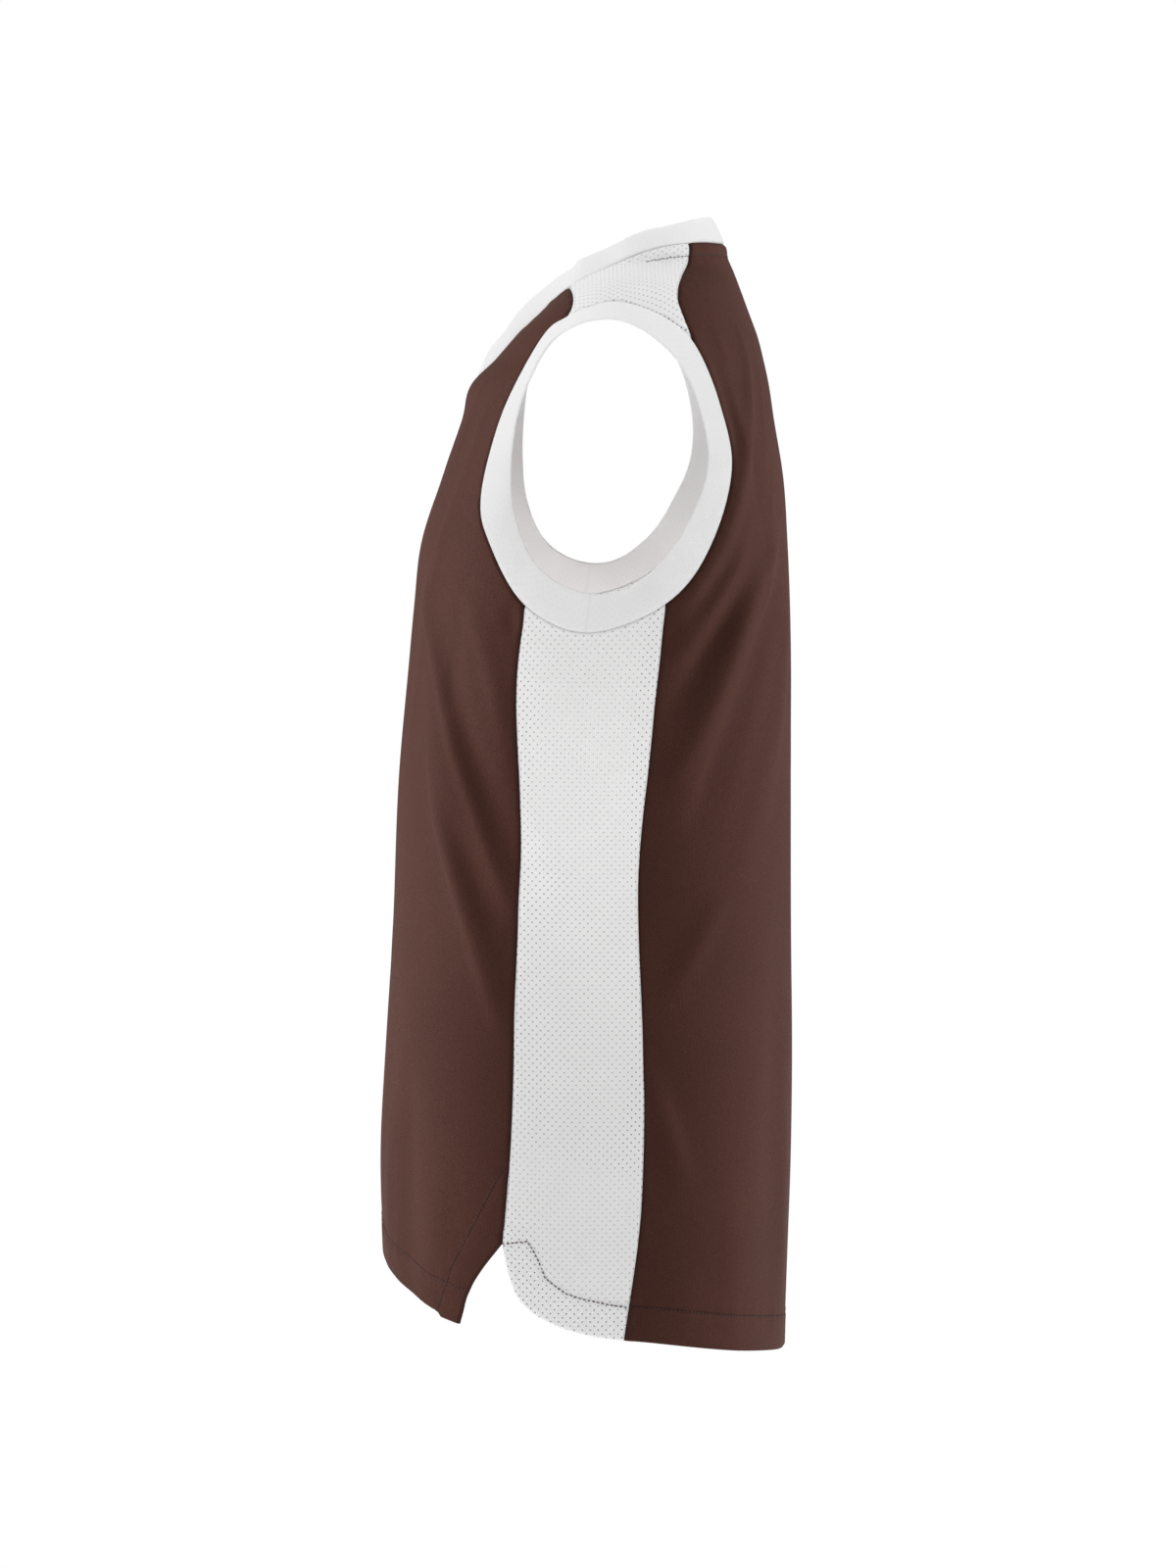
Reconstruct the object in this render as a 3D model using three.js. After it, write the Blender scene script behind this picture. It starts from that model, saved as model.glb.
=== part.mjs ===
// Sleeveless basketball jersey, worn shape with no wearer in it. Millimetres, +Z up.
// The front faces -Y and the wearer's left side is +X. The origin lies midway between the two
// shoulder straps, at the height where they rest on the wearer's shoulders.
//
// The cloth hangs as one closed surface of horizontal rings, and every cut piece is a wall on it:
// a front with a V neck, a longer back, a mesh panel down each side, a mesh yoke over each
// shoulder, a band round the neck and a band round each armhole.
import * as THREE from "three";

// Cloth and seams
const PANEL_WALL = 1.2;
const HEM_WALL = 2;
const BAND_WALL = 1.6;
const SEAM_GAP = 0.3;
const COLLAR_WIDTH = 18;
const HEM_WIDTH = 21;

// Levels of the cut, measured down from the shoulders
const FRONT_HEM_Z = -612;
const FRONT_HEM_RISE = 9;
const SIDE_HEM_Z = -617;
const BACK_TAIL_DROP = 54;
const BACK_TAIL_ROUNDNESS = 1.4;

// Mesh density of the walls
const HALF_COLUMNS = 13;
const SIDE_COLUMNS = 8;
const HEM_SHARES = [0, 0.5, 1, 1.06];
const VENT_ROWS = 2;
const BODY_ROWS = 22;
const CHEST_ROWS = 7;
const NECK_ROWS = 9;
const ARMHOLE_BACK_ROWS = 12;
const YOKE_ROWS = 9;
const BAND_ROWS = 3;

// How many rows a piece takes to bend from its straight rows to its bottom and its top edge
const FRONT_REACH = { bottom: 18, top: 6 };
const BACK_REACH = { bottom: 25, top: 8 };
const SIDE_REACH = { bottom: 10, top: 6 };
const YOKE_REACH = { bottom: YOKE_ROWS, top: YOKE_ROWS };

// Rings of the hanging cloth. wide is the y of a ring's widest point, front and back its ends,
// and squareFront and squareBack how boxy each half of it is: 2 is an ellipse.
const RINGS = [
  { z: -720, halfWidth: 178, front: -129, wide: 0, back: 125, squareFront: 2.4, squareBack: 2.5 },
  { z: -610, halfWidth: 177, front: -130, wide: -1, back: 126, squareFront: 2.4, squareBack: 2.5 },
  { z: -540, halfWidth: 175, front: -130, wide: -1, back: 127, squareFront: 2.4, squareBack: 2.5 },
  { z: -480, halfWidth: 171, front: -127, wide: 0, back: 127, squareFront: 2.35, squareBack: 2.5 },
  { z: -400, halfWidth: 166, front: -123, wide: 0, back: 126, squareFront: 2.3, squareBack: 2.5 },
  { z: -300, halfWidth: 166, front: -118, wide: 0, back: 126, squareFront: 2.3, squareBack: 2.5 },
  { z: -240, halfWidth: 169, front: -112, wide: 2, back: 126, squareFront: 2.3, squareBack: 2.5 },
  { z: -200, halfWidth: 171, front: -108, wide: 5, back: 125, squareFront: 2.3, squareBack: 2.45 },
  { z: -160, halfWidth: 170, front: -103, wide: 8, back: 123, squareFront: 2.3, squareBack: 2.45 },
  { z: -120, halfWidth: 168, front: -89.5, wide: 10, back: 120, squareFront: 2.3, squareBack: 2.4 },
  { z: -85, halfWidth: 167, front: -76.5, wide: 12, back: 114, squareFront: 2.3, squareBack: 2.35 },
  { z: -63, halfWidth: 166, front: -70.5, wide: 13, back: 110.5, squareFront: 2.3, squareBack: 2.3 },
  { z: -50, halfWidth: 164, front: -57, wide: 14, back: 107.5, squareFront: 2.4, squareBack: 2.3 },
  { z: -36, halfWidth: 159, front: -44.5, wide: 15, back: 104, squareFront: 2.4, squareBack: 2.2 },
  { z: -22, halfWidth: 148, front: -30, wide: 17, back: 99, squareFront: 2.4, squareBack: 2.1 },
  { z: -8, halfWidth: 128, front: -18, wide: 20, back: 94, squareFront: 2.2, squareBack: 2 },
  { z: 4, halfWidth: 97, front: -2, wide: 25, back: 89.5, squareFront: 2, squareBack: 2 },
  { z: 12, halfWidth: 90, front: 6, wide: 29, back: 86, squareFront: 2, squareBack: 2 },
  { z: 18, halfWidth: 84, front: 14, wide: 30, back: 85, squareFront: 2, squareBack: 2 },
  { z: 24, halfWidth: 78, front: 18, wide: 31, back: 82, squareFront: 2, squareBack: 2 },
];

// The neck seam's height by the angle round the rings: -90 is the V at the front, 0 the wearer's
// left, 90 the middle of the back.
const NECK_SEAM = [
  { angle: -90, z: -63 },
  { angle: -78, z: -52 },
  { angle: -59, z: -36.5 },
  { angle: -40, z: -23 },
  { angle: -20, z: -9 },
  { angle: -8, z: 2.5 },
  { angle: 4, z: 12 },
  { angle: 23, z: 17.4 },
  { angle: 50, z: 19.5 },
  { angle: 90, z: 21 },
];
const YOKE_FRONT_ANGLE = -20;
const YOKE_BACK_ANGLE = 23;

// The left armhole's seam, seen from the side, from the top of the shoulder forward and round.
const ARMHOLE_SEAM = [
  { y: 18, z: -20 },
  { y: 0, z: -23 },
  { y: -13, z: -28.7 },
  { y: -24, z: -36.5 },
  { y: -40, z: -63 },
  { y: -53, z: -92 },
  { y: -62, z: -130 },
  { y: -57, z: -155 },
  { y: -36, z: -190 },
  { y: 0, z: -205 },
  { y: 44, z: -189 },
  { y: 69, z: -158 },
  { y: 82, z: -113 },
  { y: 75, z: -76 },
  { y: 60, z: -43 },
  { y: 42, z: -28 },
];
const YOKE_FRONT_CORNER = 2;
const UNDERARM_FRONT = 8;
const UNDERARM_BACK = 10;
const YOKE_BACK_CORNER = 14;

// The yoke's two seams between the neck seam and the armhole seam, seen from the side.
const YOKE_FRONT_SEAM = [
  { y: -9.5, z: -14 },
  { y: -9, z: -18.5 },
  { y: -10, z: -23.5 },
];
const YOKE_BACK_SEAM = [
  { y: 60, z: 10 },
  { y: 58.5, z: 4.5 },
  { y: 55, z: -2 },
  { y: 52.5, z: -8.5 },
  { y: 51.5, z: -14 },
  { y: 51.5, z: -19 },
  { y: 53, z: -24 },
  { y: 57, z: -35 },
];

// The side panel's two long seams, seen from the side, from the hem up.
const SIDE_FRONT_SEAM = [
  { y: -50, z: -561 },
  { y: -45, z: -500 },
  { y: -42, z: -410 },
  { y: -39, z: -320 },
  { y: -41, z: -240 },
  { y: -36, z: -190 },
];
const SIDE_BACK_SEAM = [
  { y: 21, z: -617 },
  { y: 31, z: -540 },
  { y: 32, z: -450 },
  { y: 29, z: -350 },
  { y: 36, z: -270 },
  { y: 44, z: -189 },
];

// The side panel's rounded tail between the vent's top and the hem, seen from the side.
const SIDE_TAIL = [
  { y: -50, z: -561 },
  { y: -46, z: -580 },
  { y: -39, z: -595 },
  { y: -23, z: -606 },
  { y: -2, z: -613 },
  { y: 21, z: -617 },
];

// The front's curved vent edge, seen from the side, from its hem corner up.
const VENT_EDGE = [
  { y: -76, z: -612 },
  { y: -70, z: -593 },
  { y: -62, z: -578 },
  { y: -50, z: -561 },
];

// The collar's lean from upright, towards the neck, by angle round the rings.
const COLLAR_LEAN = [
  { angle: -90, lean: 30 },
  { angle: -75, lean: 23 },
  { angle: -60, lean: 20 },
  { angle: -45, lean: 20 },
  { angle: -32, lean: 23 },
  { angle: -18, lean: 40 },
  { angle: -6, lean: 48 },
  { angle: 10, lean: 54 },
  { angle: 25, lean: 51 },
  { angle: 45, lean: 36 },
  { angle: 90, lean: 25 },
];

// An armhole band's free edge by the direction round the armhole's centre, seen from the side:
// 0 the back, 90 the shoulder, 180 the front. left and right are its distances from the centre
// on the two sides, and across its distance from the middle of the jersey. The right band stands
// out more level at the shoulder than the left one does.
const ARMHOLE_CENTRE = { y: 10, z: -112 };
const BAND_EDGE = [
  { around: 0, left: 58, right: 61, across: 153 },
  { around: 30, left: 62, right: 69, across: 157 },
  { around: 60, left: 73, right: 84, across: 164 },
  { around: 90, left: 82, right: 94, across: 163 },
  { around: 110, left: 78, right: 88, across: 157 },
  { around: 130, left: 66, right: 75, across: 158 },
  { around: 150, left: 58, right: 62, across: 153 },
  { around: 180, left: 54, right: 55, across: 144 },
  { around: 210, left: 59, right: 59, across: 147 },
  { around: 240, left: 69, right: 69, across: 161 },
  { around: 270, left: 71, right: 71, across: 170 },
  { around: 300, left: 62, right: 62, across: 170 },
  { around: 330, left: 56, right: 56, across: 161 },
  { around: 360, left: 58, right: 61, across: 153 },
];

// The largest folds: soft ridges, or troughs where height is negative, each between two places
// given by angle round the rings and height. width is half the fold's breadth.
const FOLDS = [
  { fromAngle: -49, fromZ: -188, toAngle: -17, toZ: -364, width: 15, height: 3.2 },
  { fromAngle: -41, fromZ: -262, toAngle: -17, toZ: -440, width: 14, height: 2.6 },
  { fromAngle: -36, fromZ: -222, toAngle: -15, toZ: -346, width: 12, height: -2.6 },
  { fromAngle: -45, fromZ: -470, toAngle: -42, toZ: -625, width: 14, height: -3.4 },
  { fromAngle: -70, fromZ: -420, toAngle: -66, toZ: -625, width: 24, height: 2.6 },
  { fromAngle: 38, fromZ: -45, toAngle: 27, toZ: -160, width: 9, height: 2.4 },
  { fromAngle: 46, fromZ: -155, toAngle: 19, toZ: -288, width: 11, height: 3 },
  { fromAngle: 32, fromZ: -178, toAngle: 15, toZ: -250, width: 9, height: -2.4 },
  { fromAngle: 60, fromZ: -175, toAngle: 36, toZ: -345, width: 15, height: 2.8 },
  { fromAngle: 50, fromZ: -380, toAngle: 44, toZ: -660, width: 22, height: -2.6 },
  { fromAngle: 70, fromZ: -300, toAngle: 66, toZ: -670, width: 26, height: 2.4 },
  { fromAngle: -12, fromZ: -270, toAngle: 6, toZ: -345, width: 14, height: -2.2 },
  { fromAngle: -14, fromZ: -345, toAngle: 4, toZ: -415, width: 14, height: -2 },
  { fromAngle: -128, fromZ: -190, toAngle: -156, toZ: -350, width: 16, height: 3 },
  { fromAngle: -134, fromZ: -290, toAngle: -160, toZ: -450, width: 17, height: 2.4 },
  { fromAngle: -138, fromZ: -230, toAngle: -158, toZ: -320, width: 12, height: -2.4 },
  { fromAngle: -112, fromZ: -450, toAngle: -116, toZ: -625, width: 22, height: -2.8 },
  { fromAngle: -140, fromZ: -460, toAngle: -138, toZ: -625, width: 16, height: 2.6 },
  { fromAngle: 138, fromZ: -150, toAngle: 160, toZ: -270, width: 13, height: 2.8 },
  { fromAngle: 126, fromZ: -190, toAngle: 152, toZ: -350, width: 17, height: 2.6 },
  { fromAngle: 146, fromZ: -200, toAngle: 165, toZ: -290, width: 10, height: -2.2 },
  { fromAngle: 112, fromZ: -330, toAngle: 116, toZ: -665, width: 24, height: 2.6 },
  { fromAngle: 134, fromZ: -400, toAngle: 136, toZ: -655, width: 20, height: -2.4 },
  { fromAngle: 190, fromZ: -280, toAngle: 174, toZ: -350, width: 14, height: -2 },
];
const FOLD_RADIUS = 150;
const FOLD_END_SHARE = 0.25;

const NORMAL_STEP = 0.5;
const LINE_SAMPLES = 200;

const RADIANS = Math.PI / 180;
const BROWN = new THREE.MeshStandardMaterial({ color: 0x4a302c, roughness: 0.85, metalness: 0 });
const WHITE_MESH = new THREE.MeshStandardMaterial({ color: 0xe4e4e4, roughness: 0.9, metalness: 0 });
const WHITE_BAND = new THREE.MeshStandardMaterial({ color: 0xebebeb, roughness: 0.9, metalness: 0 });

// Number helpers

function clamp(value, low, high) {
  return Math.min(high, Math.max(low, value));
}

function easeInOut(t) {
  return t * t * (3 - 2 * t);
}

// A smooth function through one column of a table whose rows rise along another.
function columnOf(rows, along, column) {
  const at = rows.map((row) => row[along]);
  const value = rows.map((row) => row[column]);
  const last = rows.length - 1;
  const slope = at.slice(1).map((x, i) => (value[i + 1] - value[i]) / (x - at[i]));
  const tangent = at.map((x, i) => {
    if (i === 0) return slope[0];
    if (i === last) return slope[last - 1];
    const before = x - at[i - 1];
    const after = at[i + 1] - x;
    return (slope[i - 1] * after + slope[i] * before) / (before + after);
  });
  return (where) => {
    const x = clamp(where, at[0], at[last]);
    let i = 0;
    while (i < last - 1 && x > at[i + 1]) i += 1;
    const span = at[i + 1] - at[i];
    const t = (x - at[i]) / span;
    const end = easeInOut(t);
    const leave = t * (1 - t) * (1 - t) * span;
    const arrive = t * t * (t - 1) * span;
    return value[i] * (1 - end) + value[i + 1] * end + tangent[i] * leave + tangent[i + 1] * arrive;
  };
}

// The hanging cloth

const ringColumn = {};
for (const column of ["halfWidth", "front", "wide", "back", "squareFront", "squareBack"]) {
  ringColumn[column] = columnOf(RINGS, "z", column);
}
const neckSeamZ = columnOf(NECK_SEAM, "angle", "z");
const collarLean = columnOf(COLLAR_LEAN, "angle", "lean");
const bandEdge = {
  left: columnOf(BAND_EDGE, "around", "left"),
  right: columnOf(BAND_EDGE, "around", "right"),
  across: columnOf(BAND_EDGE, "around", "across"),
};

// How far the folds push the cloth out at an angle and a height.
function foldHeight(angle, z) {
  let total = 0;
  for (const fold of FOLDS) {
    const alongAngle = (fold.toAngle - fold.fromAngle) * RADIANS * FOLD_RADIUS;
    const alongZ = fold.toZ - fold.fromZ;
    const turn = ((((angle - fold.fromAngle + 180) % 360) + 360) % 360) - 180;
    const offAngle = turn * RADIANS * FOLD_RADIUS;
    const offZ = z - fold.fromZ;
    const length = Math.hypot(alongAngle, alongZ);
    const t = (offAngle * alongAngle + offZ * alongZ) / (length * length);
    const off = (offAngle * alongZ - offZ * alongAngle) / length;
    const past = Math.max(0, -t, t - 1) * length;
    const near = clamp(t, 0, 1);
    const swell = FOLD_END_SHARE + (1 - FOLD_END_SHARE) * Math.sin(Math.PI * near);
    total += fold.height * swell * Math.exp(-(off * off + past * past) / (fold.width * fold.width));
  }
  return total;
}

// The point of the cloth's outer face at an angle, in degrees, and a height.
function clothPoint({ angle, z }) {
  const cos = Math.cos(angle * RADIANS);
  const sin = Math.sin(angle * RADIANS);
  const wide = ringColumn.wide(z);
  const depth = sin < 0 ? wide - ringColumn.front(z) : ringColumn.back(z) - wide;
  const square = sin < 0 ? ringColumn.squareFront(z) : ringColumn.squareBack(z);
  const acrossShare = (Math.abs(cos) / ringColumn.halfWidth(z)) ** square;
  const depthShare = (Math.abs(sin) / depth) ** square;
  const radius = (acrossShare + depthShare) ** (-1 / square) + foldHeight(angle, z);
  return new THREE.Vector3(radius * cos, wide + radius * sin, z);
}

// The outward direction of the cloth there.
function clothNormal({ angle, z }) {
  const step = NORMAL_STEP;
  const round = clothPoint({ angle: angle + step, z }).sub(clothPoint({ angle: angle - step, z }));
  const up = clothPoint({ angle, z: z + step }).sub(clothPoint({ angle, z: z - step }));
  return round.cross(up).normalize();
}

// The place, as angle and height, of a point of the left side that is given as seen from the side.
function sidePlace({ y, z }) {
  const wide = ringColumn.wide(z);
  const off = y - wide;
  const depth = off < 0 ? wide - ringColumn.front(z) : ringColumn.back(z) - wide;
  const square = off < 0 ? ringColumn.squareFront(z) : ringColumn.squareBack(z);
  const share = Math.min(1, Math.abs(off) / depth);
  const across = ringColumn.halfWidth(z) * (1 - share ** square) ** (1 / square);
  return { angle: Math.atan2(off, across) / RADIANS, z };
}

function mirrored({ angle, z }) {
  return { angle: 180 - angle, z };
}

function mirrorPoint(point) {
  return new THREE.Vector3(-point.x, point.y, point.z);
}

// Seams, each a list of places

function blend(a, b, t) {
  return { angle: a.angle + (b.angle - a.angle) * t, z: a.z + (b.z - a.z) * t };
}

// count + 1 places along a smooth line through points seen from the side, between two of its
// points, spaced evenly or as the shares say.
function sideLine(points, from, to, shares, closed = false) {
  const line = new THREE.CatmullRomCurve3(
    points.map((point) => new THREE.Vector3(0, point.y, point.z)),
    closed,
    "catmullrom",
    0.5,
  );
  const spans = closed ? points.length : points.length - 1;
  const places = [];
  const lengths = [0];
  for (let i = 0; i <= LINE_SAMPLES; i += 1) {
    const index = from + ((to - from) * i) / LINE_SAMPLES;
    const point = line.getPoint((((index / spans) % 1) + 1) % 1 || (index === spans ? 1 : 0));
    places.push(clothPoint(sidePlace(point)));
    if (i > 0) lengths.push(lengths[i - 1] + places[i].distanceTo(places[i - 1]));
  }
  return shares.map((share) => {
    const wanted = share * lengths[LINE_SAMPLES];
    let i = 1;
    while (i < LINE_SAMPLES && lengths[i] < wanted) i += 1;
    const t = clamp((wanted - lengths[i - 1]) / (lengths[i] - lengths[i - 1]), 0, 1);
    const index = from + ((to - from) * (i - 1 + t)) / LINE_SAMPLES;
    const point = line.getPoint((((index / spans) % 1) + 1) % 1 || (index === spans ? 1 : 0));
    return sidePlace(point);
  });
}

function evenShares(count) {
  return Array.from({ length: count + 1 }, (_, i) => i / count);
}

// Shares of a length whose first rows lie in the turned-up hem, with even rows above it.
function hemmedShares(length, rows) {
  const inHem = HEM_SHARES.map((share) => (share * HEM_WIDTH) / length);
  const start = inHem.at(-1);
  const above = evenShares(rows).map((share) => start + share * (1 - start));
  return [...inHem, ...above.slice(1)];
}

function neckLine(fromAngle, toAngle, count) {
  return evenShares(count).map((share) => {
    const angle = fromAngle + (toAngle - fromAngle) * share;
    return { angle, z: neckSeamZ(angle) };
  });
}

const VENT_TOP = VENT_EDGE.at(-1);
const bodySeamShares = hemmedShares(SIDE_FRONT_SEAM.at(-1).z - VENT_TOP.z, BODY_ROWS);
const sideFrontSeam = sideLine(SIDE_FRONT_SEAM, 0, SIDE_FRONT_SEAM.length - 1, bodySeamShares);
const sideBackSeam = sideLine(
  SIDE_BACK_SEAM,
  0,
  SIDE_BACK_SEAM.length - 1,
  hemmedShares(SIDE_BACK_SEAM.at(-1).z - SIDE_HEM_Z, BODY_ROWS),
);
const armholeLine = (from, to, shares) => sideLine(ARMHOLE_SEAM, from, to, shares, true);
const armholeFront = armholeLine(
  UNDERARM_FRONT,
  YOKE_FRONT_CORNER,
  evenShares(CHEST_ROWS + NECK_ROWS),
);
const armholeBack = armholeLine(UNDERARM_BACK, YOKE_BACK_CORNER, evenShares(ARMHOLE_BACK_ROWS));
const armholeUnder = armholeLine(UNDERARM_FRONT, UNDERARM_BACK, evenShares(SIDE_COLUMNS));
const armholeTop = armholeLine(
  YOKE_FRONT_CORNER,
  YOKE_BACK_CORNER - ARMHOLE_SEAM.length,
  evenShares(YOKE_ROWS),
);

const neckFront = neckLine(-90, YOKE_FRONT_ANGLE, NECK_ROWS);
const neckSide = neckLine(YOKE_FRONT_ANGLE, YOKE_BACK_ANGLE, YOKE_ROWS);
const neckBack = neckLine(YOKE_BACK_ANGLE, 90, HALF_COLUMNS);

// A yoke seam from the neck seam, through its side-view points, to the armhole seam.
function yokeSeam(neckPlace, middle, armholePlace) {
  const start = clothPoint(neckPlace);
  const end = clothPoint(armholePlace);
  const points = [{ y: start.y, z: start.z }, ...middle, { y: end.y, z: end.z }];
  const line = sideLine(points, 0, points.length - 1, evenShares(HALF_COLUMNS));
  line[0] = neckPlace;
  line[HALF_COLUMNS] = armholePlace;
  return line;
}
const yokeFrontSeam = yokeSeam(neckSide[0], YOKE_FRONT_SEAM, armholeFront.at(-1));
const yokeBackSeam = yokeSeam(neckSide.at(-1), YOKE_BACK_SEAM, armholeBack.at(-1));

// Cut pieces, each a grid of places

// A four-sided piece from its two long sides, bent to its bottom and top edges over the first
// and last rows.
function pieceGrid(left, right, bottom, top, reach) {
  const rows = left.length - 1;
  const columns = bottom.length - 1;
  return left.map((leftPlace, j) => {
    const nearBottom = easeInOut(clamp(1 - j / reach.bottom, 0, 1));
    const nearTop = easeInOut(clamp(1 - (rows - j) / reach.top, 0, 1));
    return bottom.map((_, i) => {
      const share = i / columns;
      const place = blend(leftPlace, right[j], share);
      const low = blend(left[0], right[0], share);
      const high = blend(left[rows], right[rows], share);
      return {
        angle:
          place.angle +
          (bottom[i].angle - low.angle) * nearBottom +
          (top[i].angle - high.angle) * nearTop,
        z: place.z + (bottom[i].z - low.z) * nearBottom + (top[i].z - high.z) * nearTop,
      };
    });
  });
}

// The left half of the front, from its middle out to the side seam and armhole.
function frontHalf() {
  const ventShares = hemmedShares(VENT_TOP.z - FRONT_HEM_Z, VENT_ROWS).slice(0, -1);
  const vent = sideLine(VENT_EDGE, 0, VENT_EDGE.length - 1, ventShares);
  const outer = [...vent, ...sideFrontSeam, ...armholeFront.slice(1)];
  const underarmRow = vent.length + sideFrontSeam.length - 1;
  const vRow = underarmRow + CHEST_ROWS;
  const inner = outer.map((place, j) => {
    if (j > vRow) return neckFront[j - vRow];
    if (j <= underarmRow) return { angle: -90, z: place.z };
    const up = (j - underarmRow) / CHEST_ROWS;
    const from = outer[underarmRow].z;
    return { angle: -90, z: from + (neckFront[0].z - from) * up };
  });
  const bottom = evenShares(HALF_COLUMNS).map((share) => {
    const place = blend(inner[0], outer[0], share);
    return { angle: place.angle, z: place.z + FRONT_HEM_RISE * Math.cos((share * Math.PI) / 2) };
  });
  return pieceGrid(inner, outer, bottom, yokeFrontSeam, FRONT_REACH);
}

// The left half of the back, whose hem drops to a tail in the middle, out to the side seam, the
// armhole and the yoke.
function backHalf() {
  const outer = [
    ...sideBackSeam,
    ...armholeBack.slice(1),
    ...yokeBackSeam.slice(0, -1).reverse(),
  ];
  const hem = evenShares(HALF_COLUMNS).map((share) => ({
    angle: 90 + (outer[0].angle - 90) * share,
    z: SIDE_HEM_Z - BACK_TAIL_DROP * Math.cos((share * Math.PI) / 2) ** BACK_TAIL_ROUNDNESS,
  }));
  const hemRows = HEM_SHARES.length - 1;
  const rows = outer.length - 1;
  const inner = outer.map((_, j) => {
    if (j <= hemRows) return { angle: 90, z: hem[0].z + HEM_WIDTH * HEM_SHARES[j] };
    const start = hem[0].z + HEM_WIDTH * HEM_SHARES[hemRows];
    const up = (j - hemRows) / (rows - hemRows);
    return { angle: 90, z: start + (neckBack.at(-1).z - start) * up };
  });
  return pieceGrid(inner, outer, hem, neckBack.slice().reverse(), BACK_REACH);
}

// The left side panel, from its front seam to its back seam.
function sideGrid() {
  const tail = sideLine(SIDE_TAIL, 0, SIDE_TAIL.length - 1, evenShares(SIDE_COLUMNS));
  return pieceGrid(sideFrontSeam, sideBackSeam, tail, armholeUnder, SIDE_REACH);
}

// The left shoulder yoke, from the neck out to the armhole.
function yokeGrid() {
  return pieceGrid(neckSide, armholeTop, yokeFrontSeam, yokeBackSeam, YOKE_REACH);
}

// Walls

// The edges of a sheet of facets that have a facet on one side only.
function rimOf(quads) {
  const edges = new Map();
  for (const [a, b, c, d] of quads) {
    for (const [from, to] of [[a, b], [b, c], [c, d], [d, a]]) {
      const back = `${to} ${from}`;
      if (edges.has(back)) edges.delete(back);
      else edges.set(`${from} ${to}`, [from, to]);
    }
  }
  return [...edges.values()];
}

// A closed wall on a sheet of points, each with its outward direction and the wall's thickness
// there. quads lists the four corners of each facet, turning left as seen from outside.
function wall(points, normals, quads, thickness) {
  const count = points.length;
  const vertices = [];
  points.forEach((point) => vertices.push(point.x, point.y, point.z));
  points.forEach((point, i) => {
    const inner = point.clone().addScaledVector(normals[i], -thickness[i]);
    vertices.push(inner.x, inner.y, inner.z);
  });
  const faces = [];
  for (const [a, b, c, d] of quads) {
    faces.push(a, b, c, a, c, d);
    faces.push(a + count, c + count, b + count, a + count, d + count, c + count);
  }
  for (const [from, to] of rimOf(quads)) {
    faces.push(from, from + count, to + count, from, to + count, to);
  }
  const geometry = new THREE.BufferGeometry();
  geometry.setAttribute("position", new THREE.Float32BufferAttribute(vertices, 3));
  geometry.setIndex(faces);
  geometry.computeVertexNormals();
  return geometry;
}

// Moves a sheet's rim in by half a seam gap, along the cloth.
function drawInRim(points, normals, rim) {
  const shift = points.map(() => new THREE.Vector3());
  for (const [from, to] of rim) {
    const along = points[to].clone().sub(points[from]).normalize();
    for (const i of [from, to]) {
      shift[i].add(normals[i].clone().cross(along).normalize());
    }
  }
  return points.map((point, i) =>
    shift[i].lengthSq() === 0
      ? point
      : point.clone().addScaledVector(shift[i].normalize(), SEAM_GAP / 2),
  );
}

// A named mesh from grids of places. Places that are the same in two grids are one point, so
// that the two halves of a front or back are joined down the middle. flip turns a grid's facets
// over. hemmed pieces are double in their first rows.
function clothPiece(name, material, grids, hemmed) {
  const points = [];
  const normals = [];
  const thickness = [];
  const quads = [];
  const known = new Map();
  const indexOf = (place, row) => {
    const point = clothPoint(place);
    const key = point.toArray().map((value) => Math.round(value * 1000)).join(" ");
    if (!known.has(key)) {
      known.set(key, points.length);
      points.push(point);
      normals.push(clothNormal(place));
      thickness.push(hemmed && row < HEM_SHARES.length - 1 ? HEM_WALL : PANEL_WALL);
    }
    return known.get(key);
  };
  for (const { grid, flip } of grids) {
    const index = grid.map((row, j) => row.map((place) => indexOf(place, j)));
    for (let j = 0; j + 1 < grid.length; j += 1) {
      for (let i = 0; i + 1 < grid[j].length; i += 1) {
        const quad = [index[j][i], index[j][i + 1], index[j + 1][i + 1], index[j + 1][i]];
        quads.push(flip ? quad.reverse() : quad);
      }
    }
  }
  const moved = drawInRim(points, normals, rimOf(quads));
  const mesh = new THREE.Mesh(wall(moved, normals, quads, thickness), material);
  mesh.name = name;
  return mesh;
}

// Bands

// A closed band from its seam loop, its free edge and the cloth's outward directions at the seam.
function bandMesh(name, seam, free, seamNormals) {
  const count = seam.length;
  const freeNormals = free.map((point, i) => {
    const along = free[(i + 1) % count].clone().sub(free[(i + count - 1) % count]);
    return along.cross(point.clone().sub(seam[i])).normalize();
  });
  const points = [];
  const normals = [];
  for (let row = 0; row <= BAND_ROWS; row += 1) {
    const share = row / BAND_ROWS;
    for (let i = 0; i < count; i += 1) {
      points.push(seam[i].clone().lerp(free[i], share));
      normals.push(seamNormals[i].clone().lerp(freeNormals[i], easeInOut(share)).normalize());
    }
  }
  const quads = [];
  for (let row = 0; row < BAND_ROWS; row += 1) {
    for (let i = 0; i < count; i += 1) {
      const next = (i + 1) % count;
      quads.push([
        row * count + i,
        row * count + next,
        (row + 1) * count + next,
        (row + 1) * count + i,
      ]);
    }
  }
  const moved = drawInRim(points, normals, rimOf(quads));
  const thickness = points.map(() => BAND_WALL);
  const mesh = new THREE.Mesh(wall(moved, normals, quads, thickness), WHITE_BAND);
  mesh.name = name;
  return mesh;
}

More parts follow.
